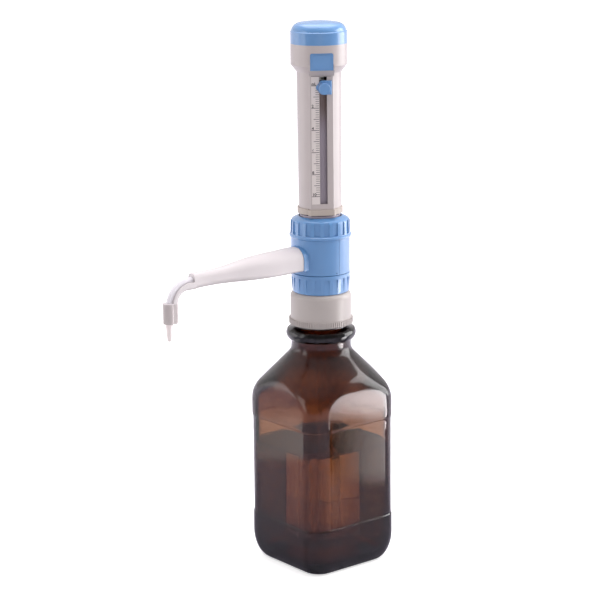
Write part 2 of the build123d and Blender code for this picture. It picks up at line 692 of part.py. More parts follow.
# ---- glass cylinder on its seal
write(tube(CYLINDER_RADIUS, CYLINDER_BORE, CYLINDER_BOTTOM, CYLINDER_TOP), "glass_cylinder")
seal_bottom = CYLINDER_BOTTOM - SEAL_THICKNESS
write(tube(CYLINDER_RADIUS, CYLINDER_BORE, seal_bottom, CYLINDER_BOTTOM), "cylinder_seal")

# ---- piston: seal, rod, and the nut that clamps the rod's head to the housing
with BuildPart() as piston_seal:
    add(tube(CYLINDER_BORE - FIT, 0, PISTON_BOTTOM, PISTON_TOP))
    chamfer(piston_seal.edges().group_by(Axis.Z)[0], PISTON_CHAMFER)
    # two grooves leave three sealing lips
    for groove in PISTON_GROOVES:
        floor = CYLINDER_BORE - PISTON_GROOVE_DEPTH
        add(tube(CYLINDER_BORE, floor, groove, groove + PISTON_GROOVE_WIDTH), mode=Mode.SUBTRACT)
    add(tube(ROD_TIP_RADIUS, 0, ROD_TIP_BOTTOM, PISTON_TOP), mode=Mode.SUBTRACT)
write(piston_seal.part, "piston_seal")

with BuildPart() as piston_rod:
    add(tube(ROD_TIP_RADIUS, 0, ROD_TIP_BOTTOM, PISTON_TOP))
    add(tube(ROD_RADIUS, 0, PISTON_TOP, HEAD_FLOOR))
    add(tube(ROD_HEAD_RADIUS, 0, HEAD_FLOOR, HEAD_SEAT))
    add(tube(ROD_STUD_RADIUS, 0, HEAD_SEAT, ROD_STUD_TOP))
write(piston_rod.part, "piston_rod")

with BuildPart() as calibration_nut:
    with BuildSketch(Plane.XY.offset(HEAD_SEAT)):
        RegularPolygon(NUT_ACROSS, 6)
        Circle(ROD_STUD_RADIUS, mode=Mode.SUBTRACT)
    extrude(amount=NUT_HEIGHT)
    chamfer(calibration_nut.edges().group_by(Axis.Z)[-1], 0.5)
write(calibration_nut.part, "calibration_nut")


def housing_section(grow):
    """The tube's round section with its raised, bevelled panel, grown by an even offset."""
    with BuildSketch() as section:
        Circle(TUBE_RADIUS_LOW)
        with BuildLine():
            Polyline(
                (-PANEL_HALF_WIDTH, 0),
                (-PANEL_HALF_WIDTH, -PANEL_DEPTH + PANEL_BEVEL),
                (-PANEL_HALF_WIDTH + PANEL_BEVEL, -PANEL_DEPTH),
                (PANEL_HALF_WIDTH - PANEL_BEVEL, -PANEL_DEPTH),
                (PANEL_HALF_WIDTH, -PANEL_DEPTH + PANEL_BEVEL),
                (PANEL_HALF_WIDTH, 0),
                close=True,
            )
        make_face()
        if grow > 0:
            offset(amount=grow, kind=Kind.INTERSECTION)
    return section.sketch


# ---- housing: the sliding cover with its raised front panel, slot and wide head
with BuildPart() as housing:
    with BuildSketch(Plane.XZ):
        with BuildLine():
            Polyline(
                (0, HOUSING_BOTTOM),
                (TUBE_RADIUS_LOW, HOUSING_BOTTOM),
                (TUBE_RADIUS_HIGH, TUBE_TOP),
                (HEAD_RADIUS, HEAD_BOTTOM),
                (HEAD_RADIUS, HEAD_TOP),
                (0, HEAD_TOP),
                close=True,
            )
        make_face()
    revolve(axis=Axis.Z)
    with BuildSketch(side_plane()):
        with BuildLine():
            Polyline(
                (PANEL_ROOT, HOUSING_BOTTOM),
                (PANEL_DEPTH, HOUSING_BOTTOM),
                (PANEL_DEPTH, PANEL_TOP),
                (PLATE_DEPTH, SLOPE_TOP),
                (PLATE_DEPTH, HEAD_BOTTOM + 2),
                (PANEL_ROOT, HEAD_BOTTOM + 2),
                close=True,
            )
        make_face()
    extrude(amount=PANEL_HALF_WIDTH, both=True)
    # the panel's face is flat, so nothing of the round tube stands in front of it
    with BuildSketch(side_plane()):
        with BuildLine():
            Polyline(
                (PANEL_DEPTH, HOUSING_BOTTOM),
                (PANEL_DEPTH, PANEL_TOP),
                (PLATE_DEPTH, SLOPE_TOP),
                (HEAD_RADIUS + 2, SLOPE_TOP),
                (HEAD_RADIUS + 2, HOUSING_BOTTOM),
                close=True,
            )
        make_face()
    extrude(amount=PANEL_HALF_WIDTH, both=True, mode=Mode.SUBTRACT)
    panel_edges = housing.edges().filter_by(Axis.Z).filter_by(
        lambda edge: abs(edge.length - (PANEL_TOP - HOUSING_BOTTOM)) < 0.5
    )
    chamfer(panel_edges, PANEL_BEVEL)
    add(tube(HOUSING_BORE, 0, HOUSING_BOTTOM, HEAD_BOTTOM - HEAD_WEB), mode=Mode.SUBTRACT)
    add(tube(ROD_RADIUS + 0.1, 0, HEAD_BOTTOM - HEAD_WEB, HEAD_FLOOR), mode=Mode.SUBTRACT)
    add(tube(HEAD_BORE - HEAD_LEDGE, 0, HEAD_FLOOR, HEAD_LEDGE_TOP), mode=Mode.SUBTRACT)
    add(tube(HEAD_BORE, 0, HEAD_LEDGE_TOP, HEAD_TOP), mode=Mode.SUBTRACT)
    # the slot that the pointer's shank slides in
    with BuildSketch(front_plane(10)):
        with Locations((SLOT_OFFSET, (SLOT_BOTTOM + SLOT_TOP) / 2)):
            Rectangle(SLOT_WIDTH, SLOT_TOP - SLOT_BOTTOM)
    extrude(amount=12, mode=Mode.SUBTRACT)
    # the pocket for the cover plate, open in front
    with BuildSketch(front_plane(PLATE_DEPTH - PLATE_THICKNESS)) as pocket:
        with Locations((0, PLATE_MIDDLE)):
            Rectangle(PLATE_WIDTH + PLATE_PLAY, PLATE_HEIGHT + PLATE_PLAY)
        fillet(pocket.vertices().group_by(Axis.Y)[-1], PLATE_CORNER)
    extrude(amount=5, mode=Mode.SUBTRACT)
write(housing.part, "housing")

with BuildPart() as housing_rim:
    with BuildSketch(level_plane(HOUSING_BOTTOM)):
        add(housing_section(RIM_PROUD))
        add(housing_section(0.05), mode=Mode.SUBTRACT)
    extrude(amount=RIM_TOP - HOUSING_BOTTOM)
write(housing_rim.part, "housing_rim")

dome_rise = CAP_TOP - DOME_EDGE_HEIGHT
crown_radius = (DOME_EDGE**2 + dome_rise**2) / (2 * dome_rise)
with BuildPart() as top_cap:
    with BuildSketch(Plane.XZ):
        with BuildLine():
            Line((CAP_INNER, HEAD_TOP - CAP_PLUG), (HEAD_BORE - 0.2, HEAD_TOP - CAP_PLUG))
            Line((HEAD_BORE - 0.2, HEAD_TOP - CAP_PLUG), (HEAD_BORE - 0.2, HEAD_TOP))
            Line((HEAD_BORE - 0.2, HEAD_TOP), (HEAD_RADIUS, HEAD_TOP))
            Line((HEAD_RADIUS, HEAD_TOP), (HEAD_RADIUS, CAP_SIDE_TOP))
            Line((HEAD_RADIUS, CAP_SIDE_TOP), DOME_FOOT)
            ThreePointArc(DOME_FOOT, DOME_SIDE, (DOME_EDGE, DOME_EDGE_HEIGHT))
            RadiusArc((DOME_EDGE, DOME_EDGE_HEIGHT), (0, CAP_TOP), -crown_radius)
            Line((0, CAP_TOP), (0, CAP_TOP - CAP_WALL))
            Line((0, CAP_TOP - CAP_WALL), (DOME_EDGE - CAP_WALL, DOME_EDGE_HEIGHT - CAP_WALL))
            Line((DOME_EDGE - CAP_WALL, DOME_EDGE_HEIGHT - CAP_WALL), (CAP_INNER, CAP_SIDE_TOP))
            Line((CAP_INNER, CAP_SIDE_TOP), (CAP_INNER, HEAD_TOP - CAP_PLUG))
        make_face()
    revolve(axis=Axis.Z)
write(top_cap.part, "top_cap")

with BuildPart() as cover_plate:
    with BuildSketch(front_plane(PLATE_DEPTH - PLATE_THICKNESS)) as plate_outline:
        with Locations((0, PLATE_MIDDLE)):
            Rectangle(PLATE_WIDTH, PLATE_HEIGHT)
        fillet(plate_outline.vertices().group_by(Axis.Y)[-1], PLATE_CORNER)
    extrude(amount=PLATE_THICKNESS)
    # a fine groove marks the frame off from the field inside it
    with BuildSketch(front_plane(PLATE_DEPTH - GROOVE_DEPTH)):
        with Locations((0, PLATE_MIDDLE)):
            field_width = PLATE_WIDTH - 2 * PLATE_FRAME
            field_height = PLATE_HEIGHT - 2 * PLATE_FRAME
            RectangleRounded(field_width, field_height, PLATE_CORNER / 2)
            RectangleRounded(
                field_width - 2 * GROOVE_WIDTH,
                field_height - 2 * GROOVE_WIDTH,
                PLATE_CORNER / 3,
                mode=Mode.SUBTRACT,
            )
    extrude(amount=1, mode=Mode.SUBTRACT)
write(cover_plate.part, "cover_plate")

with BuildPart() as scale_plate:
    with BuildSketch(front_plane(PANEL_DEPTH)):
        with Locations(((SCALE_LEFT + SCALE_RIGHT) / 2, (SLOT_BOTTOM + SLOT_TOP) / 2)):
            Rectangle(SCALE_RIGHT - SCALE_LEFT, SLOT_TOP - SLOT_BOTTOM)
    extrude(amount=SCALE_THICKNESS)
write(scale_plate.part, "scale_plate")

# ---- volume pointer: a plate in front of the panel, with a shank through the slot
POINTER_BACK = PANEL_DEPTH + SCALE_THICKNESS + POINTER_GAP
POINTER_FRONT = POINTER_BACK + POINTER_THICKNESS
KNOB_BACK = POINTER_FRONT + 0.1
with BuildPart() as volume_pointer:
    with BuildSketch(front_plane(POINTER_BACK)) as pointer_outline:
        low = POINTER_REST - POINTER_HEIGHT / 2
        high = POINTER_REST + POINTER_HEIGHT / 2
        with BuildLine():
            Polyline(
                (POINTER_SHOULDER, low),
                (POINTER_RIGHT, low),
                (POINTER_RIGHT, high),
                (POINTER_SHOULDER, high),
                (POINTER_LEFT, POINTER_REST),
                close=True,
            )
        make_face()
        fillet(pointer_outline.vertices().group_by(Axis.X)[0], POINTER_NOSE)
        fillet(pointer_outline.vertices().group_by(Axis.X)[-2], POINTER_NOSE)
    extrude(amount=POINTER_THICKNESS)
    face = volume_pointer.faces().sort_by(Axis((0, 0, 0), PANEL_NORMAL))[-1]
    chamfer(face.edges(), 0.3)
    with BuildSketch(front_plane(LUG_OUTER)):
        with Locations((SLOT_OFFSET, POINTER_REST)):
            Rectangle(SHANK_WIDTH, SHANK_HEIGHT)
    extrude(amount=POINTER_BACK - LUG_OUTER)
    with BuildSketch(front_plane(LUG_OUTER)):
        with Locations((SLOT_OFFSET, POINTER_REST)):
            Circle(SCREW_RADIUS + GAP)
    extrude(amount=POINTER_FRONT - LUG_OUTER, mode=Mode.SUBTRACT)
write(volume_pointer.part, "volume_pointer")

with BuildPart() as stop_lug:
    with BuildSketch(front_plane(LUG_INNER)):
        with Locations((SLOT_OFFSET, POINTER_REST)):
            Rectangle(LUG_WIDTH, SHANK_HEIGHT)
            Circle(SCREW_RADIUS + FIT, mode=Mode.SUBTRACT)
    extrude(amount=LUG_OUTER - LUG_INNER)
write(stop_lug.part, "stop_lug")

with BuildPart() as clamp_knob:
    with BuildSketch(front_plane(KNOB_BACK)):
        with Locations((SLOT_OFFSET, POINTER_REST)):
            Circle(KNOB_BASE_RADIUS)
    with BuildSketch(front_plane(KNOB_BACK + KNOB_LENGTH)):
        with Locations((SLOT_OFFSET, POINTER_REST)):
            Circle(KNOB_FACE_RADIUS)
    loft()
    face = clamp_knob.faces().sort_by(Axis((0, 0, 0), PANEL_NORMAL))[-1]
    chamfer(face.edges(), KNOB_CHAMFER)
    # the grip's grooves start above a plain foot and run out through the front edge
    with BuildSketch(front_plane(KNOB_BACK + KNOB_FOOT)):
        with Locations((SLOT_OFFSET, POINTER_REST)):
            with PolarLocations(KNOB_GROOVE_CIRCLE, KNOB_RIBS):
                Circle(KNOB_GROOVE)
    extrude(amount=KNOB_LENGTH, mode=Mode.SUBTRACT)
    with BuildSketch(front_plane(KNOB_BACK)):
        with Locations((SLOT_OFFSET, POINTER_REST)):
            Circle(SCREW_RADIUS)
    extrude(amount=KNOB_LENGTH - KNOB_FACE_WALL, mode=Mode.SUBTRACT)
write(clamp_knob.part, "clamp_knob")

with BuildPart() as clamp_screw:
    with BuildSketch(front_plane(LUG_INNER + 0.1)):
        with Locations((SLOT_OFFSET, POINTER_REST)):
            Circle(SCREW_RADIUS)
    extrude(amount=KNOB_BACK + KNOB_LENGTH - KNOB_FACE_WALL - LUG_INNER - 0.1)
write(clamp_screw.part, "clamp_screw")

# ---- outlet valve, union nut and discharge tube, all along -X
with BuildPart() as outlet_valve_body:
    add(side_rod(OUTLET_BORE - FIT, OUTLET_START + 0.4, OUTLET_END))
    add(side_rod(VALVE_SEAT_RADIUS, OUTLET_START, OUTLET_END), mode=Mode.SUBTRACT)
    add(side_rod(OUTLET_BALL_RADIUS + GAP, OUTLET_CAGE_START, OUTLET_CAGE_END), mode=Mode.SUBTRACT)
write(outlet_valve_body.part, "outlet_valve_body")

with BuildPart() as outlet_ball:
    with Locations((-OUTLET_BALL_PLACE, 0, SPOUT_HEIGHT)):
        Sphere(OUTLET_BALL_RADIUS)
write(outlet_ball.part, "outlet_ball")

with BuildPart() as discharge_nut:
    with BuildSketch(side_section(NUT_START)):
        with Locations((0, SPOUT_HEIGHT)):
            Circle(NUT_RADIUS)
            with PolarLocations(NUT_RADIUS + 0.2, NUT_GROOVES):
                Circle(NUT_GROOVE_RADIUS, mode=Mode.SUBTRACT)
    extrude(amount=NUT_LENGTH)
    add(side_rod(OUTLET_BORE + 0.1, NUT_START, TUBE_START), mode=Mode.SUBTRACT)
    add(side_rod(TUBE_RADIUS + 0.1, TUBE_START - 1, NUT_START + NUT_LENGTH + 1), mode=Mode.SUBTRACT)
write(discharge_nut.part, "discharge_nut")


def tube_path_part(radius, start, end):
    """A round rod along the discharge tube's route: level, one bend, then straight down."""
    bend_start = SPOUT_REACH - BEND_RADIUS
    with BuildPart() as rod:
        with BuildLine() as route:
            Line((-start, 0, SPOUT_HEIGHT), (-bend_start, 0, SPOUT_HEIGHT))
            turn = math.sqrt(0.5) * BEND_RADIUS
            ThreePointArc(
                (-bend_start, 0, SPOUT_HEIGHT),
                (-bend_start - turn, 0, SPOUT_HEIGHT - BEND_RADIUS + turn),
                (-SPOUT_REACH, 0, SPOUT_HEIGHT - BEND_RADIUS),
            )
            Line((-SPOUT_REACH, 0, SPOUT_HEIGHT - BEND_RADIUS), (-SPOUT_REACH, 0, end))
        with BuildSketch(side_section(start, SPOUT_HEIGHT)):
            Circle(radius)
        sweep(path=route.wires()[0])
    return rod.part


with BuildPart() as discharge_tube:
    add(tube_path_part(TUBE_RADIUS, TUBE_START, TUBE_END))
    add(tube_path_part(TUBE_BORE, TUBE_START - 1, TUBE_END - 1), mode=Mode.SUBTRACT)
    # the flare that the union nut presses against the valve
    add(side_rod(OUTLET_BORE - 0.2, OUTLET_END + 0.2, TUBE_START))
    add(side_rod(TUBE_BORE, OUTLET_END, TUBE_START + 1), mode=Mode.SUBTRACT)
write(discharge_tube.part, "discharge_tube")

def sleeve_form(inset, sections):
    """The spout sleeve's tapering form through its sections, drawn in by inset."""
    with BuildPart() as form:
        for out, width, low, high, corner in sections:
            across = width - 2 * inset
            crown = CROWN_SHARE * across
            with BuildSketch(side_section(out)):
                with BuildLine():
                    arch_outline(across, low + inset, high - inset, min(corner, crown), crown)
                make_face()
        loft()
    return form.part


def bend_point(inset, share):
    """A point (x, z) on the bend drawn in by inset, from its start at share 0 to its end at 1."""
    turn = share * math.pi / 2
    radius = BEND_RADIUS - inset
    across = BEND_RADIUS - SPOUT_REACH - radius * math.sin(turn)
    return (across, SPOUT_HEIGHT - BEND_RADIUS + radius * math.cos(turn))


def is_under_arm(place):
    """Whether a place is on the arm's underside or back, and not on the bed that the tube lies in."""
    on_underside = place.Z < ARM_UNDER + 0.01 and place.X > -ARM_BACK - 0.01
    return on_underside and place.Z > HOLDER_BOTTOM + 0.01


# the arm that follows the tube's bend on its inner side, down to the nozzle's holder
with BuildPart() as arm:
    with BuildSketch(Plane.XZ):
        with BuildLine():
            start = (ARM_ROOT, SPOUT_HEIGHT - ARM_BED)
            bed_end = bend_point(ARM_BED, 1)
            Line((ARM_ROOT, ARM_UNDER), (ARM_CORNER - ARM_BACK, ARM_UNDER))
            TangentArc(
                (ARM_CORNER - ARM_BACK, ARM_UNDER),
                (-ARM_BACK, ARM_UNDER - ARM_CORNER),
                tangent=(-1, 0),
            )
            Line((-ARM_BACK, ARM_UNDER - ARM_CORNER), (-ARM_BACK, HOLDER_BOTTOM))
            Line((-ARM_BACK, HOLDER_BOTTOM), (-SPOUT_REACH, HOLDER_BOTTOM))
            Line((-SPOUT_REACH, HOLDER_BOTTOM), (-SPOUT_REACH, SPOUT_HEIGHT - BEND_RADIUS))
            Line((-SPOUT_REACH, SPOUT_HEIGHT - BEND_RADIUS), bed_end)
            ThreePointArc(bed_end, bend_point(ARM_BED, 0.5), bend_point(ARM_BED, 0))
            Line(bend_point(ARM_BED, 0), start)
            Line(start, (ARM_ROOT, ARM_UNDER))
        make_face()
    extrude(amount=ARM_WIDTH / 2, both=True)
    behind = arm.edges().filter_by(
        lambda edge: abs(abs(edge.center().Y) - ARM_WIDTH / 2) < 0.01 and is_under_arm(edge.center())
    )
    fillet(behind, ARM_ROUNDING)

with BuildPart() as spout_sleeve:
    add(sleeve_form(0, SLEEVE_SECTIONS))
    add(arm.part)
    with BuildSketch(Plane.XY.offset(HOLDER_BOTTOM)):
        with Locations((-SPOUT_REACH, 0)):
            Circle(HOLDER_RADIUS)
    extrude(amount=HOLDER_TOP - HOLDER_BOTTOM)
    add(sleeve_form(SLEEVE_WALL, SLEEVE_SECTIONS[:-1]), mode=Mode.SUBTRACT)
    add(tube_path_part(TUBE_RADIUS + 0.1, 100, HOLDER_BOTTOM - 1), mode=Mode.SUBTRACT)
    with BuildSketch(Plane.XY.offset(HOLDER_BOTTOM - 1)):
        with Locations((-SPOUT_REACH, 0)):
            Circle(HOLDER_SOCKET)
    extrude(amount=SOCKET_DEPTH + 1, mode=Mode.SUBTRACT)
write(spout_sleeve.part, "spout_sleeve")

with BuildPart() as nozzle_tip:
    with BuildSketch(Plane(origin=(-SPOUT_REACH, 0, 0), x_dir=(1, 0, 0), z_dir=(0, -1, 0))):
        with BuildLine():
            Polyline(
                (TUBE_RADIUS + 0.05, TUBE_END),
                (TUBE_RADIUS + 0.05, TUBE_END + 5),
                (HOLDER_SOCKET - 0.05, TUBE_END + 5),
                (HOLDER_SOCKET - 0.05, HOLDER_BOTTOM),
                (NOZZLE_RADIUS + 0.7, NOZZLE_END + 1.0),
                (NOZZLE_RADIUS + 0.3, NOZZLE_END),
                (NOZZLE_BORE, NOZZLE_END),
                (NOZZLE_BORE, TUBE_END),
                close=True,
            )
        make_face()
    revolve(axis=Axis((-SPOUT_REACH, 0, 0), (0, 0, 1)))
write(nozzle_tip.part, "nozzle_tip")

# ---- inlet valve: body with a ball on its seat, and the nipple for the filling tube
with BuildPart() as inlet_valve_body:
    add(
        turned(
            (VALVE_SEAT_RADIUS, NIPPLE_BOTTOM),
            (NIPPLE_RADIUS - 0.4, NIPPLE_BOTTOM),
            (NIPPLE_RADIUS, NIPPLE_BOTTOM + 1),
            (NIPPLE_RADIUS, VALVE_BODY_BOTTOM),
            (VALVE_BODY_RADIUS, VALVE_BODY_BOTTOM),
            (VALVE_BODY_RADIUS, STEM_BOTTOM),
            (STEM_BORE - 0.1, STEM_BOTTOM),
            (STEM_BORE - 0.1, VALVE_BODY_TOP),
            (CHANNEL_RADIUS, VALVE_BODY_TOP),
            (CHANNEL_RADIUS, CAGE_TOP),
            (INLET_BALL_RADIUS + CAGE_PLAY, CAGE_TOP),
            (INLET_BALL_RADIUS + CAGE_PLAY, INLET_BALL_HEIGHT - 0.4),
            (VALVE_SEAT_RADIUS, INLET_BALL_HEIGHT - 3.9),
        )
    )
write(inlet_valve_body.part, "inlet_valve_body")

with BuildPart() as inlet_ball:
    with Locations((0, 0, INLET_BALL_HEIGHT)):
        Sphere(INLET_BALL_RADIUS)
write(inlet_ball.part, "inlet_ball")

# ---- filling tube: an upper length on the nipple, and a lower length that slides over it
upper_tube = tube(UPPER_TUBE_RADIUS, NIPPLE_RADIUS, UPPER_TUBE_BOTTOM, UPPER_TUBE_TOP)
write(upper_tube, "filling_tube_upper")
lower_tube = tube(LOWER_TUBE_RADIUS, UPPER_TUBE_RADIUS + FIT, LOWER_TUBE_BOTTOM, LOWER_TUBE_TOP)
write(lower_tube, "filling_tube_lower")
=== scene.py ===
import json
import math

import bpy
import bmesh
from mathutils import Matrix, Vector


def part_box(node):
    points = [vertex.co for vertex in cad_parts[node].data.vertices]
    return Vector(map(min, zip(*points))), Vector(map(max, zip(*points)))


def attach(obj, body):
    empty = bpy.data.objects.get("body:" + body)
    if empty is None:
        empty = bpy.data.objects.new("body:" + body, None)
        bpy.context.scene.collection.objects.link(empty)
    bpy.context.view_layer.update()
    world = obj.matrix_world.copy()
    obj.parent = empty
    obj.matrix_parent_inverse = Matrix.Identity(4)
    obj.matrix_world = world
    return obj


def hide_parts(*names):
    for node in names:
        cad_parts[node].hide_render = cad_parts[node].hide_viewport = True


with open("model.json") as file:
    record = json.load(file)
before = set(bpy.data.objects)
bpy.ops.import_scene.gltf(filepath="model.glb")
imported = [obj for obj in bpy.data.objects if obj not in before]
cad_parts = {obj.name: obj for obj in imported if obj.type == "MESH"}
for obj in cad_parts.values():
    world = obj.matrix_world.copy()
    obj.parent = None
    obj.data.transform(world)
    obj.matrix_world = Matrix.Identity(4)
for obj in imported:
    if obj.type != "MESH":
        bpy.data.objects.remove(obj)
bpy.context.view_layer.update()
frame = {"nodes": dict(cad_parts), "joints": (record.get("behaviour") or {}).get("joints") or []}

MM = 0.001
UP = Vector((0, 0, 1))
WHITE = (1, 1, 1, 1)


def joint(name):
    """The frame's joint of that name."""
    return next(j for j in frame["joints"] if j["name"] == name)


# The front panel's outward normal is the clamp knob's axis; its right is level, seen from in front.
PANEL_NORMAL = Vector(joint("clamp_knob_turn")["axis"]).normalized()
PANEL_RIGHT = UP.cross(PANEL_NORMAL).normalized()
KNOB_CENTRE = Vector(joint("clamp_knob_turn")["pos_m"])
STROKE = joint("housing_lift")["range_m"][1]
# The pointer can go down to the scale's last line, a full stroke below its zero.
ZERO_HEIGHT = KNOB_CENTRE.z - joint("volume_setting")["range_m"][1] + STROKE


# ---------------------------------------------------------------- node helpers


class Nodes:
    """A short way to write a node tree."""

    def __init__(self, name):
        self.material = bpy.data.materials.new(name)
        self.material.use_nodes = True
        self.tree = self.material.node_tree
        self.tree.nodes.clear()
        self.output = self.tree.nodes.new("ShaderNodeOutputMaterial")

    def add(self, kind, **settings):
        """A node of this kind; a setting names an input socket or a property."""
        node = self.tree.nodes.new("ShaderNode" + kind)
        for key, value in settings.items():
            if key in node.inputs:
                node.inputs[key].default_value = value
            else:
                setattr(node, key, value)
        return node

    def link(self, a, out, b, into):
        """Joins one node's output socket to another's input socket."""
        self.tree.links.new(a.outputs[out], b.inputs[into])

    def noise(self, scale, detail=4.0, stretch=(1, 1, 1), roughness=0.5):
        """Noise over the object's own coordinates, in features per metre."""
        place = self.add("TexCoord")
        mapping = self.add("Mapping")
        mapping.inputs["Scale"].default_value = stretch
        self.link(place, "Object", mapping, "Vector")
        noise = self.add("TexNoise", Scale=scale, Detail=detail, Roughness=roughness)
        self.link(mapping, "Vector", noise, "Vector")
        return noise

    def ramp(self, source, low, high, start=0.3, end=0.7):
        """A colour ramp from low to high over the source's factor."""
        ramp = self.add("ValToRGB")
        ramp.color_ramp.elements[0].position = start
        ramp.color_ramp.elements[0].color = low
        ramp.color_ramp.elements[1].position = end
        ramp.color_ramp.elements[1].color = high
        self.link(source, "Fac", ramp, "Fac")
        return ramp

    def spread(self, source, low, high, start=0.3, end=0.7):
        """The source's factor, spread between two values."""
        spread = self.add("MapRange")
        spread.inputs["From Min"].default_value = start
        spread.inputs["From Max"].default_value = end
        spread.inputs["To Min"].default_value = low
        spread.inputs["To Max"].default_value = high
        self.link(source, "Fac", spread, "Value")
        return spread

    def by_height(self, low, high, below, above):
        """A value that eases from one to another between two heights on the object."""
        place = self.add("TexCoord")
        split = self.add("SeparateXYZ")
        self.link(place, "Object", split, "Vector")
        ease = self.add("MapRange", interpolation_type="SMOOTHSTEP")
        ease.inputs["From Min"].default_value = low
        ease.inputs["From Max"].default_value = high
        ease.inputs["To Min"].default_value = below
        ease.inputs["To Max"].default_value = above
        self.link(split, "Z", ease, "Value")
        return ease


def shade(colour, factor):
    """The colour made lighter or darker, with alpha 1."""
    return tuple(min(1.0, c * factor) for c in colour[:3]) + (1.0,)


def srgb(red, green, blue):
    """A linear colour from 0 to 255 display values."""

    def linear(value):
        value /= 255
        return value / 12.92 if value <= 0.04045 else ((value + 0.055) / 1.055) ** 2.4

    return (linear(red), linear(green), linear(blue), 1.0)


# ---------------------------------------------------------------- materials

# Moulded plastic. Every noise scale is in features per metre.
CLOUD_SCALE = 38
SPECK_SCALE = 2600
SPECK_SHARE = 0.6
SPECK_RANGE = (0.35, 0.6)
FLOW_SCALE = 90
FLOW_STRETCH = (1, 1, 0.25)
SMOOTHER = 0.05
ROUGHER = 0.06
GRAIN_STRENGTH = 10
GRAIN_DEPTH = 0.03 * MM
PLASTIC_IOR = 1.49
COAT_ROUGHNESS = 0.18

# Glass
RIPPLE_SCALE = 55
RIPPLE_DEPTH = 0.4 * MM
DUST_SCALE = 260
DUST_ROUGHNESS = 0.015
DUST_RANGE = (0.45, 0.7)

# The discharge tube's hazy plastic
TUBE_IOR = 1.36
TUBE_ROUGHNESS = 0.12
TUBE_HAZE_SCALE = 120
TUBE_DARKER, TUBE_LIGHTER = 0.96, 1.03
TUBE_BUMP = 0.1
TUBE_BUMP_DEPTH = 0.1 * MM

# Turned metal
TURNING_SCALE = 400
TURNING_STRETCH = (1, 1, 12)
METAL_DARKER, METAL_LIGHTER = 0.9, 1.05
METAL_SMOOTHER = 0.05
METAL_ROUGHER = 0.1


def moulded(name, colour, roughness=0.4, variation=0.05, grain=0.02, coat=0.0, upper=None):
    """Moulded plastic: cloudy colour, fine surface grain, roughness that varies, a soft sheen.

    Where upper is given as (low, high, colour), the colour turns into it between those heights.
    """
    n = Nodes(name)
    cloud = n.noise(CLOUD_SCALE, detail=5)
    speck = n.noise(SPECK_SCALE, detail=2)
    flow = n.noise(FLOW_SCALE, detail=3, stretch=FLOW_STRETCH)
    base = n.ramp(cloud, shade(colour, 1 - variation), shade(colour, 1 + variation))
    fine = n.ramp(speck, shade(WHITE, 1 - variation * SPECK_SHARE), WHITE, *SPECK_RANGE)
    mix = n.add("Mix", data_type="RGBA", blend_type="MULTIPLY")
    mix.inputs["Factor"].default_value = 1.0
    n.link(base, "Color", mix, "A")
    n.link(fine, "Color", mix, "B")
    if upper:
        low, high, second = upper
        turn = n.add("Mix", data_type="RGBA")
        n.link(n.by_height(low, high, 0, 1), "Result", turn, "Factor")
        n.link(base, "Color", turn, "A")
        other = n.ramp(cloud, shade(second, 1 - variation), shade(second, 1 + variation))
        n.link(other, "Color", turn, "B")
        n.tree.links.new(turn.outputs["Result"], mix.inputs["A"])
    surface = n.add("BsdfPrincipled")
    surface.inputs["IOR"].default_value = PLASTIC_IOR
    surface.inputs["Coat Weight"].default_value = coat
    surface.inputs["Coat Roughness"].default_value = COAT_ROUGHNESS
    n.tree.links.new(mix.outputs["Result"], surface.inputs["Base Color"])
    rough = n.spread(flow, roughness - SMOOTHER, roughness + ROUGHER)
    n.link(rough, "Result", surface, "Roughness")
    bump = n.add("Bump", Strength=grain * GRAIN_STRENGTH, Distance=GRAIN_DEPTH)
    n.link(speck, "Fac", bump, "Height")
    n.link(bump, "Normal", surface, "Normal")
    n.link(surface, "BSDF", n.output, "Surface")
    return n.material


def glass(name, colour, absorb=None, density=0.0, roughness=0.0, ior=1.5, wave=0.4, haze=None):
    """Glass with slow waves in its surface and, where absorb is given, colour from its thickness.

    Where haze is given as (low, high, amount), the surface grows dull between those heights.
    """
    n = Nodes(name)
    surface = n.add("BsdfPrincipled")
    surface.inputs["Base Color"].default_value = colour
    surface.inputs["Transmission Weight"].default_value = 1.0
    surface.inputs["IOR"].default_value = ior
    ripple = n.noise(RIPPLE_SCALE, detail=2)
    dust = n.noise(DUST_SCALE, detail=3)
    rough = n.spread(dust, roughness, roughness + DUST_ROUGHNESS, *DUST_RANGE)
    if haze:
        low, high, amount = haze
        both = n.add("Math", operation="ADD")
        n.link(rough, "Result", both, 0)
        n.link(n.by_height(low, high, 0, amount), "Result", both, 1)
        n.link(both, "Value", surface, "Roughness")
    else:
        n.link(rough, "Result", surface, "Roughness")
    bump = n.add("Bump", Strength=wave, Distance=RIPPLE_DEPTH)
    n.link(ripple, "Fac", bump, "Height")
    n.link(bump, "Normal", surface, "Normal")
    n.link(surface, "BSDF", n.output, "Surface")
    if absorb:
        volume = n.add("VolumeAbsorption", Color=absorb, Density=density)
        n.link(volume, "Volume", n.output, "Volume")
    return n.material


def milky_tube(name, colour, body):
    """A clear tube with haze in its wall: body is the share of the light that it scatters."""
    n = Nodes(name)
    surface = n.add("BsdfPrincipled", Roughness=TUBE_ROUGHNESS)
    surface.inputs["IOR"].default_value = TUBE_IOR
    surface.inputs["Transmission Weight"].default_value = 1 - body
    haze = n.noise(TUBE_HAZE_SCALE, detail=3)
    base = n.ramp(haze, shade(colour, TUBE_DARKER), shade(colour, TUBE_LIGHTER))
    n.link(base, "Color", surface, "Base Color")
    bump = n.add("Bump", Strength=TUBE_BUMP, Distance=TUBE_BUMP_DEPTH)
    n.link(haze, "Fac", bump, "Height")
    n.link(bump, "Normal", surface, "Normal")
    n.link(surface, "BSDF", n.output, "Surface")
    return n.material


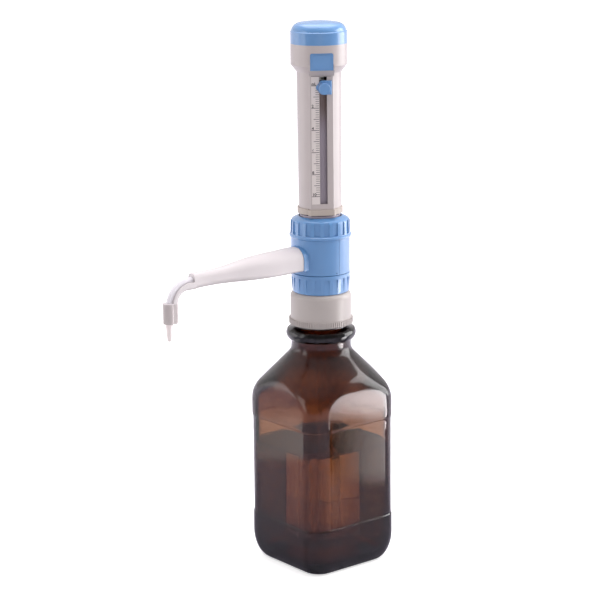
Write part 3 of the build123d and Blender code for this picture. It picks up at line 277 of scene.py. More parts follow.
def metal(name, colour, roughness):
    """Turned metal with fine rings round its axis."""
    n = Nodes(name)
    rings = n.noise(TURNING_SCALE, stretch=TURNING_STRETCH)
    surface = n.add("BsdfPrincipled", Metallic=1.0)
    base = n.ramp(rings, shade(colour, METAL_DARKER), shade(colour, METAL_LIGHTER))
    n.link(base, "Color", surface, "Base Color")
    rough = n.spread(rings, roughness - METAL_SMOOTHER, roughness + METAL_ROUGHER)
    n.link(rough, "Result", surface, "Roughness")
    n.link(surface, "BSDF", n.output, "Surface")
    return n.material


# Heights between which the spout turns lighter above and the sleeve turns darker and browner above, and
# between which the glass grows dull
SPOUT_TURN = (249.5 * MM, 251.5 * MM)
SLEEVE_TURN = (370 * MM, 400 * MM)
NECK_HAZE = (126 * MM, 146 * MM)

BLUE = moulded("blue_plastic", srgb(94, 141, 192), roughness=0.34, variation=0.03, coat=0.9)
HOUSING = moulded("housing_plastic", srgb(182, 172, 171), variation=0.02, coat=0.4)
RIM = moulded("rim_plastic", srgb(178, 166, 157), variation=0.03)
ADAPTER = moulded("adapter_plastic", srgb(178, 170, 167), roughness=0.38, variation=0.03)
SPOUT = moulded(
    "spout_plastic",
    srgb(184, 175, 175),
    roughness=0.35,
    variation=0.02,
    upper=(*SPOUT_TURN, srgb(209, 202, 204)),
)
DARK = moulded(
    "sleeve_plastic",
    srgb(164, 154, 166),
    roughness=0.24,
    grain=0.01,
    upper=(*SLEEVE_TURN, srgb(120, 104, 100)),
)
CORE = moulded("core_plastic", srgb(226, 226, 222), variation=0.03)
SEAL = moulded("seal_plastic", srgb(238, 238, 234), roughness=0.3, variation=0.03, grain=0.01)
SCALE = moulded("scale_film", srgb(212, 203, 201), roughness=0.3, variation=0.015, grain=0.01)
PRINT = moulded("scale_print", srgb(46, 42, 44), roughness=0.5, variation=0.08, grain=0.01)
FILLING = glass("filling_tubing", (0.93, 0.92, 0.97, 1), roughness=0.02, ior=1.37, wave=0.1)
MILKY = moulded("nozzle_plastic", srgb(240, 228, 228), roughness=0.3, variation=0.03, grain=0.01)
STEEL = metal("screw_steel", srgb(190, 190, 192), roughness=0.3)
AMBER = glass(
    "amber_glass",
    (0.97, 0.93, 0.88, 1),
    absorb=(0.55, 0.33, 0.08, 1),
    density=780,
    roughness=0.035,
    haze=(*NECK_HAZE, 0.10),
)
LIQUID = glass(
    "reagent", (0.98, 0.98, 0.98, 1), absorb=(0.7, 0.6, 0.5, 1), density=12, ior=1.36, wave=0.0
)
CLEAR = glass("clear_glass", (0.98, 0.99, 1.0, 1), wave=0.1)
TUBING = milky_tube("clear_tubing", srgb(248, 244, 250), body=0.75)
BALL = glass("valve_ball_glass", (0.9, 0.95, 1.0, 1), roughness=0.02, wave=0.1)

NODE_MATERIALS = {
    "neck_gasket": SEAL,
    "thread_adapter": ADAPTER,
    "mounting_ring": BLUE,
    "valve_core": CORE,
    "valve_block_front_shell": BLUE,
    "valve_block_rear_shell": BLUE,
    "fixing_ring": BLUE,
    "cylinder_sleeve": DARK,
    "glass_cylinder": CLEAR,
    "cylinder_seal": SEAL,
    "outlet_valve_body": CORE,
    "discharge_nut": CORE,
    "discharge_tube": TUBING,
    "spout_sleeve": SPOUT,
    "nozzle_tip": MILKY,
    "inlet_valve_body": CORE,
    "filling_tube_upper": FILLING,
    "inlet_ball": BALL,
    "outlet_ball": BALL,
    "filling_tube_lower": FILLING,
    "housing": HOUSING,
    "housing_rim": RIM,
    "top_cap": BLUE,
    "cover_plate": BLUE,
    "scale_plate": SCALE,
    "piston_rod": CORE,
    "piston_seal": SEAL,
    "calibration_nut": RIM,
    "volume_pointer": BLUE,
    "stop_lug": DARK,
    "clamp_knob": BLUE,
    "clamp_screw": STEEL,
}


def set_material(obj, material):
    """Puts one material on every face of an object."""
    if obj.data.materials:
        for index in range(len(obj.data.materials)):
            obj.data.materials[index] = material
    else:
        obj.data.materials.append(material)


for node, material in NODE_MATERIALS.items():
    set_material(frame["nodes"][node], material)


# ---------------------------------------------------------------- mesh helpers


def new_object(name, mesh, material, body, smooth=True):
    """A finished piece: shaded, given its material and put on its body."""
    obj = bpy.data.objects.new(name, mesh)
    bpy.context.scene.collection.objects.link(obj)
    mesh.materials.append(material)
    for face in mesh.polygons:
        face.use_smooth = smooth
    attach(obj, body)
    return obj


def lathe_rings(name, rings):
    """A mesh through rings of points that all have the same count. A ring of one point is a pole."""
    mesh = bpy.data.meshes.new(name)
    bm = bmesh.new()
    made = [[bm.verts.new(p) for p in ring] for ring in rings]
    for low, high in zip(made, made[1:]):
        count = max(len(low), len(high))
        for i in range(count):
            j = (i + 1) % count
            if len(low) == 1:
                bm.faces.new((low[0], high[j], high[i]))
            elif len(high) == 1:
                bm.faces.new((low[i], low[j], high[0]))
            else:
                bm.faces.new((low[i], low[j], high[j], high[i]))
    bmesh.ops.recalc_face_normals(bm, faces=bm.faces[:])
    bm.to_mesh(mesh)
    bm.free()
    return mesh


# ---------------------------------------------------------------- bottle

BOTTLE_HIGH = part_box("bottle")[1]
HALF_WIDTH = round(BOTTLE_HIGH.x / MM, 1) * MM
LIP = BOTTLE_HIGH.z
CORNER = 16.5 * MM
WALL = 3.2 * MM
FLOOR = 7.5 * MM
HEEL_THICKENING = 2.5 * MM
CORNER_THICKENING = 1.6 * MM
SHOULDER_THICKENING = 1.6 * MM
HEEL_HEIGHT = 25 * MM
HEEL_INSET = 11 * MM
HEEL_CORNER_CHANGE = 3.5 * MM
LABEL_LOW = 41.4 * MM
LABEL_HIGH = 128.1 * MM
LABEL_DEPTH = 0.7 * MM
SHOULDER_START = 142.9 * MM
SHOULDER_RADIUS = 23.3 * MM
NECK_RADIUS = 25.6 * MM
NECK_BLEND = 10.5 * MM
MOUTH_RADIUS = 15.2 * MM
THREAD_ROOT = 21.0 * MM
THREAD_HEIGHT = 1.5 * MM
THREAD_PITCH = 4 * MM
THREAD_LOW = 211.5 * MM
THREAD_HIGH = 221.5 * MM
BEAD_LOW = 196.3 * MM
BEAD_RADIUS = 29.9 * MM
BEAD_WIDEST = 202.8 * MM
BEAD_EDGE = 205.6 * MM
BEAD_EDGE_RADIUS = 28.9 * MM
BEAD_TOP = 206.8 * MM
LIQUID_LEVEL = 105 * MM
BOTTLE_SEGMENTS = 144
HEEL_STEPS = 14

# Rings under the base: heights, then half widths and corners as shares of the flat base's half
BASE_HOLLOW = 1.6 * MM
BASE_HOLLOW_RINGS = ((1.5 * MM, 0.45, 0.4), (1.1 * MM, 0.72, 0.55))
BASE_RIM_RINGS = ((0.3 * MM, 0.9), (0, 0.95))

# Heights between which the rings of each stretch of wall are spread
LOWER_WALL = (28 * MM, 38 * MM)
UPPER_WALL = (131 * MM, SHOULDER_START - 1 * MM)
OUTER_SHOULDER = (144.5 * MM, BEAD_LOW - 1.2 * MM)
INNER_SHOULDER = (194 * MM, 140 * MM)
INNER_WALL = (136 * MM, 28 * MM)
THICKENED_OVER = 25 * MM

# The label band's steps, the bead, the thread, the lip and the mouth
STEP_HALF_HEIGHT = 0.5 * MM
STEP_CLEAR = 2 * MM
BEAD_HOLLOW = 1.1 * MM
BEAD_CENTRE = 26.6 * MM
BEAD_UNDERCUT = 0.4 * MM
BEAD_ROUNDING = 0.7 * MM
BEAD_STRETCH = 1.15
THREAD_FILLET = 1.2 * MM
THREAD_FILLET_HEIGHT = 1.0 * MM
THREAD_FILLET_RISE = 0.9 * MM
RIDGE_HALF_WIDTH = 1.25 * MM
RIDGE_FLANK = 0.65 * MM
THREAD_RUN_OUT = 2 * MM
LIP_OUTSIDE = 19.6 * MM
LIP_INSIDE = 16.6 * MM
LIP_ROUNDING = 1.4 * MM
THREADED = (BEAD_TOP + 1.3 * MM, LIP - 1.6 * MM)
MOUTH_LOW = 207 * MM
MOUTH = (LIP - 4 * MM, MOUTH_LOW)
MOUTH_EASE = 11 * MM

# The dished floor inside, and the liquid, which laps a little way into the glass
FLOOR_EDGE_SHARE = 0.6
FLOOR_EDGE_RISE = 0.2 * MM
FLOOR_DISH = 1.2 * MM
LIQUID_OVERLAP = 0.03 * MM
WETTED = (30 * MM, LIQUID_LEVEL)

# The liquid's surface near the glass: millimetres in from the wall, and millimetres of rise
MENISCUS_HEIGHT = 1.4 * MM
MENISCUS = ((0.25, 1.0), (0.7, 0.5), (1.6, 0.15), (3.5, 0.0), (16, 0.0))
MENISCUS_CORNER = 0.4

ROOT2 = math.sqrt(2)
DIAGONAL = HALF_WIDTH * ROOT2 - CORNER * (ROOT2 - 1)
SLOPE_SUM = SHOULDER_START + DIAGONAL + SHOULDER_RADIUS * (ROOT2 - 1)
INNER_CORNER = CORNER - WALL + CORNER_THICKENING / (ROOT2 - 1)
NECK_INSET = WALL + SHOULDER_THICKENING


def square_radius(half, corner, angle):
    """Distance from the axis to a rounded square's edge, in this direction."""
    turn = (angle + math.pi / 4) % (math.pi / 2) - math.pi / 4
    flat = half - corner
    if half * math.tan(abs(turn)) <= flat:
        return half / math.cos(turn)
    across = flat * (math.cos(turn) + math.sin(abs(turn)))
    return across + math.sqrt(max(0.0, across**2 - 2 * flat**2 + corner**2))


def square_ring(height, half, corner):
    """A level ring of points on a rounded square."""
    ring = []
    for index in range(BOTTLE_SEGMENTS):
        angle = 2 * math.pi * index / BOTTLE_SEGMENTS
        radius = square_radius(half, min(corner, half), angle)
        ring.append((radius * math.cos(angle), radius * math.sin(angle), height))
    return ring


def shoulder_radius(start, height, inset):
    """Radius on the shoulder: upright, an arc, a 45 degree slope, then an arc into the neck."""
    radius = SHOULDER_RADIUS - inset
    upright = start - inset
    slope_sum = SLOPE_SUM - inset * ROOT2
    arc_start = slope_sum - upright - radius * (ROOT2 - 1)
    blend = NECK_BLEND + inset
    neck = NECK_RADIUS - inset
    blend_top = slope_sum - neck + blend * (ROOT2 - 1)
    if height <= arc_start:
        return upright
    if height >= blend_top:
        return neck
    if height >= blend_top - blend / ROOT2:
        return neck + blend - math.sqrt(blend**2 - (blend_top - height) ** 2)
    if height >= arc_start + radius / ROOT2:
        return slope_sum - height
    return upright - radius + math.sqrt(radius**2 - (height - arc_start) ** 2)


def shoulder_ring(height, inset):
    """A ring on the shoulder or neck, square below and round above."""
    half = shoulder_radius(HALF_WIDTH, height, inset)
    deeper = CORNER_THICKENING if inset > 0 else 0
    diagonal = shoulder_radius(DIAGONAL, height, inset + deeper)
    corner = (half * ROOT2 - diagonal) / (ROOT2 - 1)
    return square_ring(height, half, corner)


def shoulder_inset(height):
    """How thick the glass is on the inside of the shoulder: it grows towards the neck."""
    share = max(0.0, min(1.0, (height - SHOULDER_START) / THICKENED_OVER))
    return WALL + SHOULDER_THICKENING * share


def heel_rings(inset, bottom, steps):
    """Rings up the heel, a quarter of an ellipse from the flat base to the upright wall."""
    rings = []
    for index in range(steps + 1):
        turn = (1 - index / steps) * math.pi / 2
        drawn = HEEL_INSET * (1 - math.cos(turn))
        corner = CORNER - inset - HEEL_CORNER_CHANGE * drawn / HEEL_INSET
        if inset > 0:
            drawn += HEEL_THICKENING * math.sin(turn)
            corner += INNER_CORNER - (CORNER - WALL)
        height = HEEL_HEIGHT - (HEEL_HEIGHT - bottom) * math.sin(turn)
        rings.append(square_ring(height, HALF_WIDTH - inset - drawn, corner))
    return rings


def span(low, high, count):
    """Evenly spaced values from low to high, both included."""
    return [low + (high - low) * i / (count - 1) for i in range(count)]


def thread_ring(height):
    """A ring on the threaded finish: the ridge rises where the helix passes this height."""
    ring = []
    for index in range(BOTTLE_SEGMENTS):
        angle = 2 * math.pi * index / BOTTLE_SEGMENTS
        turns = (height - THREAD_LOW) / THREAD_PITCH - angle / (2 * math.pi)
        off = (turns - round(turns)) * THREAD_PITCH
        centre = height - off
        rise = max(0.0, min(1.0, (RIDGE_HALF_WIDTH - abs(off)) / RIDGE_FLANK))
        rise *= max(0.0, min(1.0, (centre - THREAD_LOW) / THREAD_RUN_OUT + 0.5))
        rise *= max(0.0, min(1.0, (THREAD_HIGH - centre) / THREAD_RUN_OUT + 0.5))
        radius = THREAD_ROOT + THREAD_HEIGHT * rise * rise * (3 - 2 * rise)
        ring.append((radius * math.cos(angle), radius * math.sin(angle), height))
    return ring


def round_ring(height, radius):
    """A level circle of points."""
    return square_ring(height, radius, radius)


def arc_rings(centre_r, centre_z, across, tall, start, end, steps):
    """Rings along an elliptical arc in the (radius, height) plane, in degrees."""
    rings = []
    for degrees in span(start, end, steps):
        turn = math.radians(degrees)
        rings.append(round_ring(centre_z + tall * math.sin(turn), centre_r + across * math.cos(turn)))
    return rings


def label_rings():
    """The upright wall, with the shallow band for a label between two small rounded steps."""
    rings = []
    for height, sign in ((LABEL_LOW, 1), (LABEL_HIGH, -1)):
        step = []
        for share in span(0, 1, 7):
            drawn = LABEL_DEPTH * (0.5 - 0.5 * math.cos(math.pi * share))
            step.append((height + sign * STEP_HALF_HEIGHT * (share - 0.5) * 2, drawn))
        if sign < 0:
            step.reverse()
        rings += [square_ring(z, HALF_WIDTH - drawn, CORNER - drawn) for z, drawn in step]
        if sign > 0:
            drawn = LABEL_DEPTH
            middle = span(LABEL_LOW + STEP_CLEAR, LABEL_HIGH - STEP_CLEAR, 9)
            rings += [square_ring(z, HALF_WIDTH - drawn, CORNER - drawn) for z in middle]
    return rings


def bottle_outside():
    """Rings up the outside, from the base's centre to the lip."""
    base = HALF_WIDTH - HEEL_INSET
    rings = [[(0, 0, BASE_HOLLOW)]]
    rings += [square_ring(z, base * half, base * corner) for z, half, corner in BASE_HOLLOW_RINGS]
    rings += [square_ring(z, base * half, CORNER - HEEL_CORNER_CHANGE) for z, half in BASE_RIM_RINGS]
    rings += heel_rings(0, 0, HEEL_STEPS)
    rings += [square_ring(z, HALF_WIDTH, CORNER) for z in span(*LOWER_WALL, 3)]
    rings += label_rings()
    rings += [square_ring(z, HALF_WIDTH, CORNER) for z in span(*UPPER_WALL, 4)]
    rings += [shoulder_ring(z, 0) for z in span(*OUTER_SHOULDER, 36)]
    # the pouring bead: hollow below, round at its widest, with a small round upper edge
    rings += arc_rings(NECK_RADIUS + BEAD_HOLLOW, BEAD_LOW, -BEAD_HOLLOW, BEAD_HOLLOW, 0, 70, 4)
    across = BEAD_RADIUS - BEAD_CENTRE
    tall = BEAD_WIDEST - BEAD_LOW - BEAD_UNDERCUT
    rings += arc_rings(BEAD_CENTRE, BEAD_WIDEST, across, tall, -75, 0, 10)
    slope = math.degrees(math.atan2(BEAD_TOP - BEAD_EDGE, BEAD_EDGE_RADIUS - THREAD_ROOT))
    centre = (BEAD_EDGE_RADIUS - BEAD_ROUNDING, BEAD_EDGE - BEAD_ROUNDING)
    rings += arc_rings(*centre, BEAD_ROUNDING * BEAD_STRETCH, BEAD_ROUNDING, 12, 90 - slope, 6)
    centre = (THREAD_ROOT + THREAD_FILLET, BEAD_TOP + THREAD_FILLET_RISE)
    rings += arc_rings(*centre, -THREAD_FILLET, -THREAD_FILLET_HEIGHT, 70, 5, 5)
    rings += [thread_ring(z) for z in span(*THREADED, 38)]
    rings += arc_rings(LIP_OUTSIDE, LIP - LIP_ROUNDING, LIP_ROUNDING, LIP_ROUNDING, 0, 90, 6)
    return rings


def floor_ring(lift):
    """The ring where the inside's floor starts to dish, this far above the glass."""
    half = (HALF_WIDTH - HEEL_INSET) * FLOOR_EDGE_SHARE
    return square_ring(FLOOR + FLOOR_EDGE_RISE + lift, half, CORNER)


def bottle_inside():
    """Rings down the inside, from the lip to the middle of the floor."""
    rings = arc_rings(LIP_INSIDE, LIP - LIP_ROUNDING, LIP_ROUNDING, LIP_ROUNDING, 90, 180, 6)
    rings += [round_ring(z, MOUTH_RADIUS) for z in span(*MOUTH, 4)]
    for share in span(0, 1, 8)[1:]:
        ease = share * share * (3 - 2 * share)
        radius = MOUTH_RADIUS + (NECK_RADIUS - NECK_INSET - MOUTH_RADIUS) * ease
        rings.append(round_ring(MOUTH_LOW - MOUTH_EASE * share, radius))
    rings += [shoulder_ring(z, shoulder_inset(z)) for z in span(*INNER_SHOULDER, 32)]
    rings += [square_ring(z, HALF_WIDTH - WALL, INNER_CORNER) for z in span(*INNER_WALL, 12)]
    rings += list(reversed(heel_rings(WALL, FLOOR, HEEL_STEPS)))
    rings.append(floor_ring(0))
    rings.append([(0, 0, FLOOR + FLOOR_DISH)])
    return rings


bottle_mesh = lathe_rings("bottle_glass", bottle_outside() + bottle_inside())
bottle_glass = new_object("bottle_glass", bottle_mesh, AMBER, "bottle")
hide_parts("bottle")


def liquid_rings():
    """The reagent: it wets the inner wall, and its surface climbs a little at the glass."""
    inset = WALL - LIQUID_OVERLAP
    rings = [[(0, 0, FLOOR + FLOOR_DISH + LIQUID_OVERLAP)], floor_ring(LIQUID_OVERLAP)]
    rings += heel_rings(inset, FLOOR + LIQUID_OVERLAP, HEEL_STEPS)
    corner = INNER_CORNER + LIQUID_OVERLAP
    rings += [square_ring(z, HALF_WIDTH - inset, corner) for z in span(*WETTED, 12)]
    rings.append(square_ring(LIQUID_LEVEL + MENISCUS_HEIGHT, HALF_WIDTH - inset, corner))
    for drawn, rise in MENISCUS:
        half = HALF_WIDTH - inset - drawn * MM
        rounding = corner - drawn * MENISCUS_CORNER * MM
        rings.append(square_ring(LIQUID_LEVEL + rise * MM, half, rounding))
    rings.append([(0, 0, LIQUID_LEVEL)])
    return rings


liquid_mesh = lathe_rings("reagent_liquid", liquid_rings())
new_object("reagent_liquid", liquid_mesh, LIQUID, "bottle")

# ---------------------------------------------------------------- scale

STEPS_PER_ML = 5
FULL_SCALE = 10
TICK_RIGHT = -2.15 * MM
TICK_LENGTHS = (2.9 * MM, 4.65 * MM, 6.4 * MM)
TICK_WIDTHS = (0.34 * MM, 0.42 * MM, 0.46 * MM)
INK_SUNK = 0.02 * MM
INK_PROUD = 0.03 * MM
DIGIT_SIZE = 3.4 * MM
UNIT_SIZE = DIGIT_SIZE * 0.9
DIGIT_BOLD = 0.08 * MM
DIGIT_LEFT = -8.3 * MM
DIGIT_RISE = 0.5 * MM
BORDER_HEIGHT = 421.9 * MM
BORDER_WIDTH = 0.25 * MM
BORDER_ENDS = (-8.6 * MM, 8.2 * MM)


def furthest(node, direction):
    """How far a frame node reaches in this direction."""
    obj = frame["nodes"][node]
    return max((obj.matrix_world @ v.co).dot(direction) for v in obj.data.vertices)


def on_panel(right, height, depth):
    """A point in front of the axis: right along the panel, up, and out."""
    return PANEL_RIGHT * right + UP * height + PANEL_NORMAL * depth


def add_bar(bm, left, right, low, high, depth):
    """A thin bar of ink lying on a face at this depth."""
    corners = []
    for out in (depth - INK_SUNK, depth + INK_PROUD):
        for x, z in ((left, low), (right, low), (right, high), (left, high)):
            corners.append(bm.verts.new(on_panel(x, z, out)))
    back, front = corners[:4], corners[4:]
    bm.faces.new(front)
    bm.faces.new(back[::-1])
    for i in range(4):
        j = (i + 1) % 4
        bm.faces.new((back[i], back[j], front[j], front[i]))


def add_text(bm, text, left, low, depth, size):
    """Plain numerals of ink lying on a face at this depth."""
    curve = bpy.data.curves.new("digits", "FONT")
    curve.body = text
    curve.size = size
    curve.extrude = (INK_SUNK + INK_PROUD) / 2
    curve.offset = DIGIT_BOLD
    letters = bpy.data.objects.new("digits", curve)
    bpy.context.scene.collection.objects.link(letters)
    bpy.context.view_layer.update()
    mesh = bpy.data.meshes.new_from_object(letters)
    start = on_panel(left, low, depth + (INK_PROUD - INK_SUNK) / 2)
    for vertex in mesh.vertices:
        x, y, z = vertex.co
        vertex.co = start + PANEL_RIGHT * x + UP * y + PANEL_NORMAL * z
    bm.from_mesh(mesh)
    bpy.data.objects.remove(letters)
    bpy.data.curves.remove(curve)
    bpy.data.meshes.remove(mesh)


def add_scale():
    """The printed scale: five steps to the millilitre, longer lines at each one and each two."""
    film = furthest("scale_plate", PANEL_NORMAL)
    panel = -furthest("scale_plate", -PANEL_NORMAL)
    bm = bmesh.new()
    for step in range(FULL_SCALE * STEPS_PER_ML + 1):
        height = ZERO_HEIGHT - STROKE * step / (FULL_SCALE * STEPS_PER_ML)
        rank = 0
        if step % STEPS_PER_ML == 0:
            rank = 1
        if step % (2 * STEPS_PER_ML) == 0:
            rank = 2
            volume = step // STEPS_PER_ML
            text = str(volume) if volume else "mL"
            size = DIGIT_SIZE if volume else UNIT_SIZE
            add_text(bm, text, DIGIT_LEFT, height + DIGIT_RISE, film, size)
        half = TICK_WIDTHS[rank] / 2
        add_bar(bm, TICK_RIGHT - TICK_LENGTHS[rank], TICK_RIGHT, height - half, height + half, film)
    half = BORDER_WIDTH / 2
    add_bar(bm, *BORDER_ENDS, BORDER_HEIGHT - half, BORDER_HEIGHT + half, panel)
    mesh = bpy.data.meshes.new("scale_print")
    bm.to_mesh(mesh)
    bm.free()
    new_object("scale_print", mesh, PRINT, "housing", smooth=False)


add_scale()

# ---------------------------------------------------------------- stage, lights and camera

# The floor and the surround look one way to the camera, light the object another, and mirror a third.
FLOOR_RADIUS = 30
FLOOR_ROUGHNESS = 0.8
FLOOR_MOTTLE_SCALE = 6
FLOOR_SHADES = ((0.93, 0.93, 0.93, 1), (0.96, 0.96, 0.96, 1))
FLOOR_GLOW = 0.5
FLOOR_BOUNCE = (0.5, 0.5, 0.5, 1)
FLOOR_MIRRORED = (0.48, 0.45, 0.54, 1)
FLOOR_BACK = (0.04, 0.22)
FLOOR_BACK_GLOW = 0.8
FLOOR_BACK_TINT = (0.98, 0.95, 1, 1)
# Painted shade: a near-black sheet under the base stands in for the shade beneath the bottle, so the
# heel looks dark.
BASE_SHADE_COLOUR = (0.02, 0.02, 0.02, 1)
BASE_SHADE_INSET = 1.5 * MM
BASE_SHADE_LOW = 0.05 * MM
BASE_SHADE_HIGH = 0.25 * MM
BASE_SHADE_SPREAD = 0.2 * MM
BASE_SHADE_CORNER = CORNER - 4 * MM
WORLD_BACK = 0.85
WORLD_FRONT = 0.22
WORLD_EASE = (-0.3, 0.75)
WORLD_FILL = 0.17
WORLD_SEEN = 1.05
WORLD_TINT = (1, 0.96, 0.99, 1)
CARD_TINT = (1, 0.96, 0.98, 1)
# A card's edge, and where it starts to fade, as shares of its size out from its middle
CARD_EDGE = 0.5
CARD_FADE_START = 0.25
VIEW_AZIMUTH = -39.3
VIEW_ELEVATION = 13.3
VIEW_DISTANCE = 1.77
VIEW_HEIGHT = 0.2293
VIEW_ROLL = -0.6
LENS = 125
SENSOR = 36
AIM_ASIDE = -0.0177


def view_direction(azimuth, elevation):
    """The unit vector from the object towards a viewer at these degrees."""
    a, e = math.radians(azimuth), math.radians(elevation)
    return Vector((math.sin(a) * math.cos(e), -math.cos(a) * math.cos(e), math.sin(e)))


def beside(centre, azimuth, elevation, distance):
    """A place at this distance from a centre, in this direction."""
    return Vector(centre) + view_direction(azimuth, elevation) * distance


FRONT = view_direction(VIEW_AZIMUTH, 0)
MIDDLE = (0, 0, 0.25)
HEAD = (0, 0, 0.46)

# Soft lights: name, place, target, size, watts, and whether glossy surfaces mirror the light
AREAS = (
    ("left_soft", beside(MIDDLE, -105, 12, 1.5), MIDDLE, (0.5, 1.2), 3.4, True),
    ("back_left_soft", beside(MIDDLE, -145, 14, 1.3), MIDDLE, (0.7, 0.9), 4, False),
    ("right_soft", beside(MIDDLE, 64, 13, 1.5), MIDDLE, (1.1, 1.3), 20, True),
    ("top_soft", beside(MIDDLE, 60, 74, 1.6), MIDDLE, (1.4, 1.0), 18, False),
    ("front_soft", beside(MIDDLE, -33, 12, 1.4), (0, 0, 0.37), (0.5, 0.5), 4, False),
    ("cap_soft", (0, 0, 0.8), HEAD, (0.16, 0.16), 0.3, False),
)

# Mirrored cards: name, place, target, size, strength, and the share of it left at the +X edge
CARDS = (
    ("low_card", (0.138, -0.198, 0.048), (0, -0.0475, 0.08), (0.09, 0.085), 4.5, 0),
    ("left_card", (-0.171, 0.14, 0.06), (-0.0475, 0, 0.09), (0.11, 0.055), 2, 0.6),
    ("back_card", beside((0, 0, 0.15), -141, 6, 0.9), (0, 0, 0.15), (0.6, 0.35), 3, 0.5),
    ("edge_card", (0.286, -0.349, 0.05), (0.03, -0.0475, 0.14), (0.2, 0.16), 19, 0.3),
    ("dome_card", beside(MIDDLE, 141, 24, 1.3), (0, 0, 0.45), (1.0, 0.6), 0.8, 0.7),
    ("cap_card", beside(HEAD, 141, 78, 0.2), HEAD, (0.26, 0.3), 3.8, 0.8),
)


def seen_directly(n):
    """1 for the camera's own rays and for those that pass through glass, else 0."""
    path = n.add("LightPath")
    either = n.add("Math", operation="MAXIMUM")
    n.link(path, "Is Camera Ray", either, 0)
    n.link(path, "Is Transmission Ray", either, 1)
    return either


def add_floor():
    """A wide pale floor. It lights the object less than it shows, and its mirrored part glows behind."""
    bpy.ops.mesh.primitive_circle_add(vertices=96, radius=FLOOR_RADIUS, fill_type="NGON")
    floor = bpy.context.object
    floor.name = "floor"
    n = Nodes("floor_paper")
    shown = n.add("BsdfPrincipled", Roughness=FLOOR_ROUGHNESS)
    mottle = n.noise(FLOOR_MOTTLE_SCALE, detail=3)
    base = n.ramp(mottle, *FLOOR_SHADES)
    n.link(base, "Color", shown, "Base Color")
    shown.inputs["Emission Color"].default_value = WHITE
    shown.inputs["Emission Strength"].default_value = FLOOR_GLOW
    felt = n.add("BsdfDiffuse", Color=FLOOR_BOUNCE)
    near = n.add("BsdfDiffuse", Color=FLOOR_MIRRORED)
    place = n.add("TexCoord")
    back = n.add("VectorMath", operation="DOT_PRODUCT")
    back.inputs[1].default_value = -FRONT
    n.link(place, "Object", back, 0)
    level = n.add("MapRange", interpolation_type="SMOOTHSTEP")
    level.inputs["From Min"].default_value = FLOOR_BACK[0]
    level.inputs["From Max"].default_value = FLOOR_BACK[1]
    level.inputs["To Max"].default_value = FLOOR_BACK_GLOW
    n.link(back, "Value", level, "Value")
    glow = n.add("Emission", Color=FLOOR_BACK_TINT)
    n.link(level, "Result", glow, "Strength")
    mirrored = n.add("AddShader")
    n.link(near, "BSDF", mirrored, 0)
    n.link(glow, "Emission", mirrored, 1)
    path = n.add("LightPath")
    unseen = n.add("MixShader")
    n.link(path, "Is Glossy Ray", unseen, "Fac")
    n.link(felt, "BSDF", unseen, 1)
    n.link(mirrored, "Shader", unseen, 2)
    mix = n.add("MixShader")
    n.link(seen_directly(n), "Value", mix, "Fac")
    n.link(unseen, "Shader", mix, 1)
    n.link(shown, "BSDF", mix, 2)
    n.link(mix, "Shader", n.output, "Surface")
    floor.data.materials.append(n.material)


def add_area(name, place, target, size, power, mirrored):
    """A soft rectangular light, aimed at a point. It shows as a reflection only where mirrored."""
    data = bpy.data.lights.new(name, "AREA")
    data.shape = "RECTANGLE"
    data.size, data.size_y = size
    data.energy = power
    lamp = bpy.data.objects.new(name, data)
    bpy.context.scene.collection.objects.link(lamp)
    lamp.location = place
    lamp.visible_camera = False
    lamp.visible_transmission = False
    lamp.visible_glossy = mirrored
    lamp.rotation_euler = (Vector(target) - Vector(place)).to_track_quat("-Z", "Y").to_euler()


def add_card(name, place, target, size, strength, dimmer):
    """A bright card that shows only as a reflection, soft above and below, dimmer towards +X."""
    bpy.ops.mesh.primitive_plane_add(size=1)
    card = bpy.context.object
    card.name = name
    card.location = place
    card.scale = (size[0], size[1], 1)
    card.rotation_euler = (Vector(target) - Vector(place)).to_track_quat("Z", "Y").to_euler()
    for ray in ("camera", "diffuse", "transmission", "volume_scatter", "shadow"):
        setattr(card, "visible_" + ray, False)
    n = Nodes(name)
    coords = n.add("TexCoord")
    split = n.add("SeparateXYZ")
    n.link(coords, "Object", split, "Vector")
    across = n.add("MapRange", interpolation_type="SMOOTHSTEP")
    across.inputs["From Min"].default_value = CARD_EDGE
    across.inputs["From Max"].default_value = -CARD_EDGE
    across.inputs["To Min"].default_value = strength * dimmer
    across.inputs["To Max"].default_value = strength
    n.link(split, "X", across, "Value")
    up = n.add("Math", operation="ABSOLUTE")
    n.link(split, "Y", up, 0)
    fade = n.add("MapRange", interpolation_type="SMOOTHSTEP")
    fade.inputs["From Min"].default_value = CARD_EDGE
    fade.inputs["From Max"].default_value = CARD_FADE_START
    n.link(up, "Value", fade, "Value")
    glow = n.add("Emission", Color=CARD_TINT)
    n.link(across, "Result", glow, "Strength")
    beyond = n.add("BsdfTransparent")
    mix = n.add("MixShader")
    n.link(fade, "Result", mix, "Fac")
    n.link(beyond, "BSDF", mix, 1)
    n.link(glow, "Emission", mix, 2)
    n.link(mix, "Shader", n.output, "Surface")
    card.data.materials.append(n.material)


def add_camera():
    """The camera at the photograph's angle."""
    data = bpy.data.cameras.new("camera")
    data.lens = LENS
    data.sensor_width = SENSOR
    camera = bpy.data.objects.new("camera", data)
    bpy.context.scene.collection.objects.link(camera)
    towards = view_direction(VIEW_AZIMUTH, VIEW_ELEVATION)
    aside = UP.cross(towards).normalized()
    middle = Vector((0, 0, VIEW_HEIGHT))
    camera.location = middle + towards * VIEW_DISTANCE
    aim = middle + aside * AIM_ASIDE
    look = (camera.location - aim).to_track_quat("Z", "Y").to_matrix()
    roll = Matrix.Rotation(math.radians(VIEW_ROLL), 3, "Z")
    camera.rotation_euler = (look @ roll).to_euler()
    bpy.context.scene.camera = camera


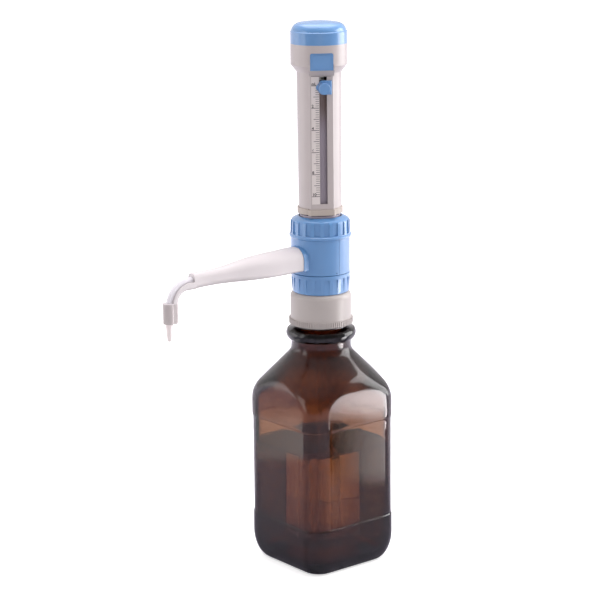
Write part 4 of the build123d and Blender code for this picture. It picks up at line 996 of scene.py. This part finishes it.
class WorldNodes(Nodes):
    """The same short way to write the world's nodes."""

    def __init__(self, world):
        world.use_nodes = True
        self.tree = world.node_tree
        self.tree.nodes.clear()
        self.output = self.tree.nodes.new("ShaderNodeOutputWorld")


def add_world():
    """A pale surround that lights the object from behind more than from in front."""
    world = bpy.data.worlds.new("studio")
    bpy.context.scene.world = world
    n = WorldNodes(world)
    place = n.add("TexCoord")
    facing = n.add("VectorMath", operation="DOT_PRODUCT")
    facing.inputs[1].default_value = FRONT
    n.link(place, "Generated", facing, 0)
    level = n.add("MapRange", interpolation_type="SMOOTHSTEP")
    level.inputs["From Min"].default_value = WORLD_EASE[0]
    level.inputs["From Max"].default_value = WORLD_EASE[1]
    level.inputs["To Min"].default_value = WORLD_BACK
    level.inputs["To Max"].default_value = WORLD_FRONT
    n.link(facing, "Value", level, "Value")
    path = n.add("LightPath")
    fill = n.add("Math", operation="MULTIPLY_ADD")
    fill.inputs[1].default_value = WORLD_FILL
    n.link(path, "Is Diffuse Ray", fill, 0)
    n.link(level, "Result", fill, 2)
    light = n.add("Background", Color=WORLD_TINT)
    n.link(fill, "Value", light, "Strength")
    seen = n.add("Background", Color=WHITE, Strength=WORLD_SEEN)
    mix = n.add("MixShader")
    n.link(seen_directly(n), "Value", mix, "Fac")
    n.link(light, "Background", mix, 1)
    n.link(seen, "Background", mix, 2)
    n.link(mix, "Shader", n.output, "Surface")


def add_mat():
    """A small near-black sheet, hidden under the bottle: painted shade beneath the base that the heel
    shows through the glass.
    """
    half = HALF_WIDTH - HEEL_INSET - BASE_SHADE_INSET
    rings = [[(0, 0, BASE_SHADE_HIGH)], square_ring(BASE_SHADE_HIGH, half, BASE_SHADE_CORNER)]
    rings += [square_ring(BASE_SHADE_LOW, half + BASE_SHADE_SPREAD, BASE_SHADE_CORNER), [(0, 0, BASE_SHADE_LOW)]]
    mesh = lathe_rings("base_shade_sheet", rings)
    base_shade_paint = moulded("base_painted_shade", BASE_SHADE_COLOUR, roughness=0.6, variation=0.1, grain=0.03)
    mesh.materials.append(base_shade_paint)
    base_shade_sheet = bpy.data.objects.new("base_shade_sheet", mesh)
    bpy.context.scene.collection.objects.link(base_shade_sheet)


add_floor()
add_mat()
add_world()
for area in AREAS:
    add_area(*area)
for card in CARDS:
    add_card(*card)
add_camera()

bpy.context.scene.view_settings.view_transform = "Standard"
bpy.context.scene.view_settings.look = "None"
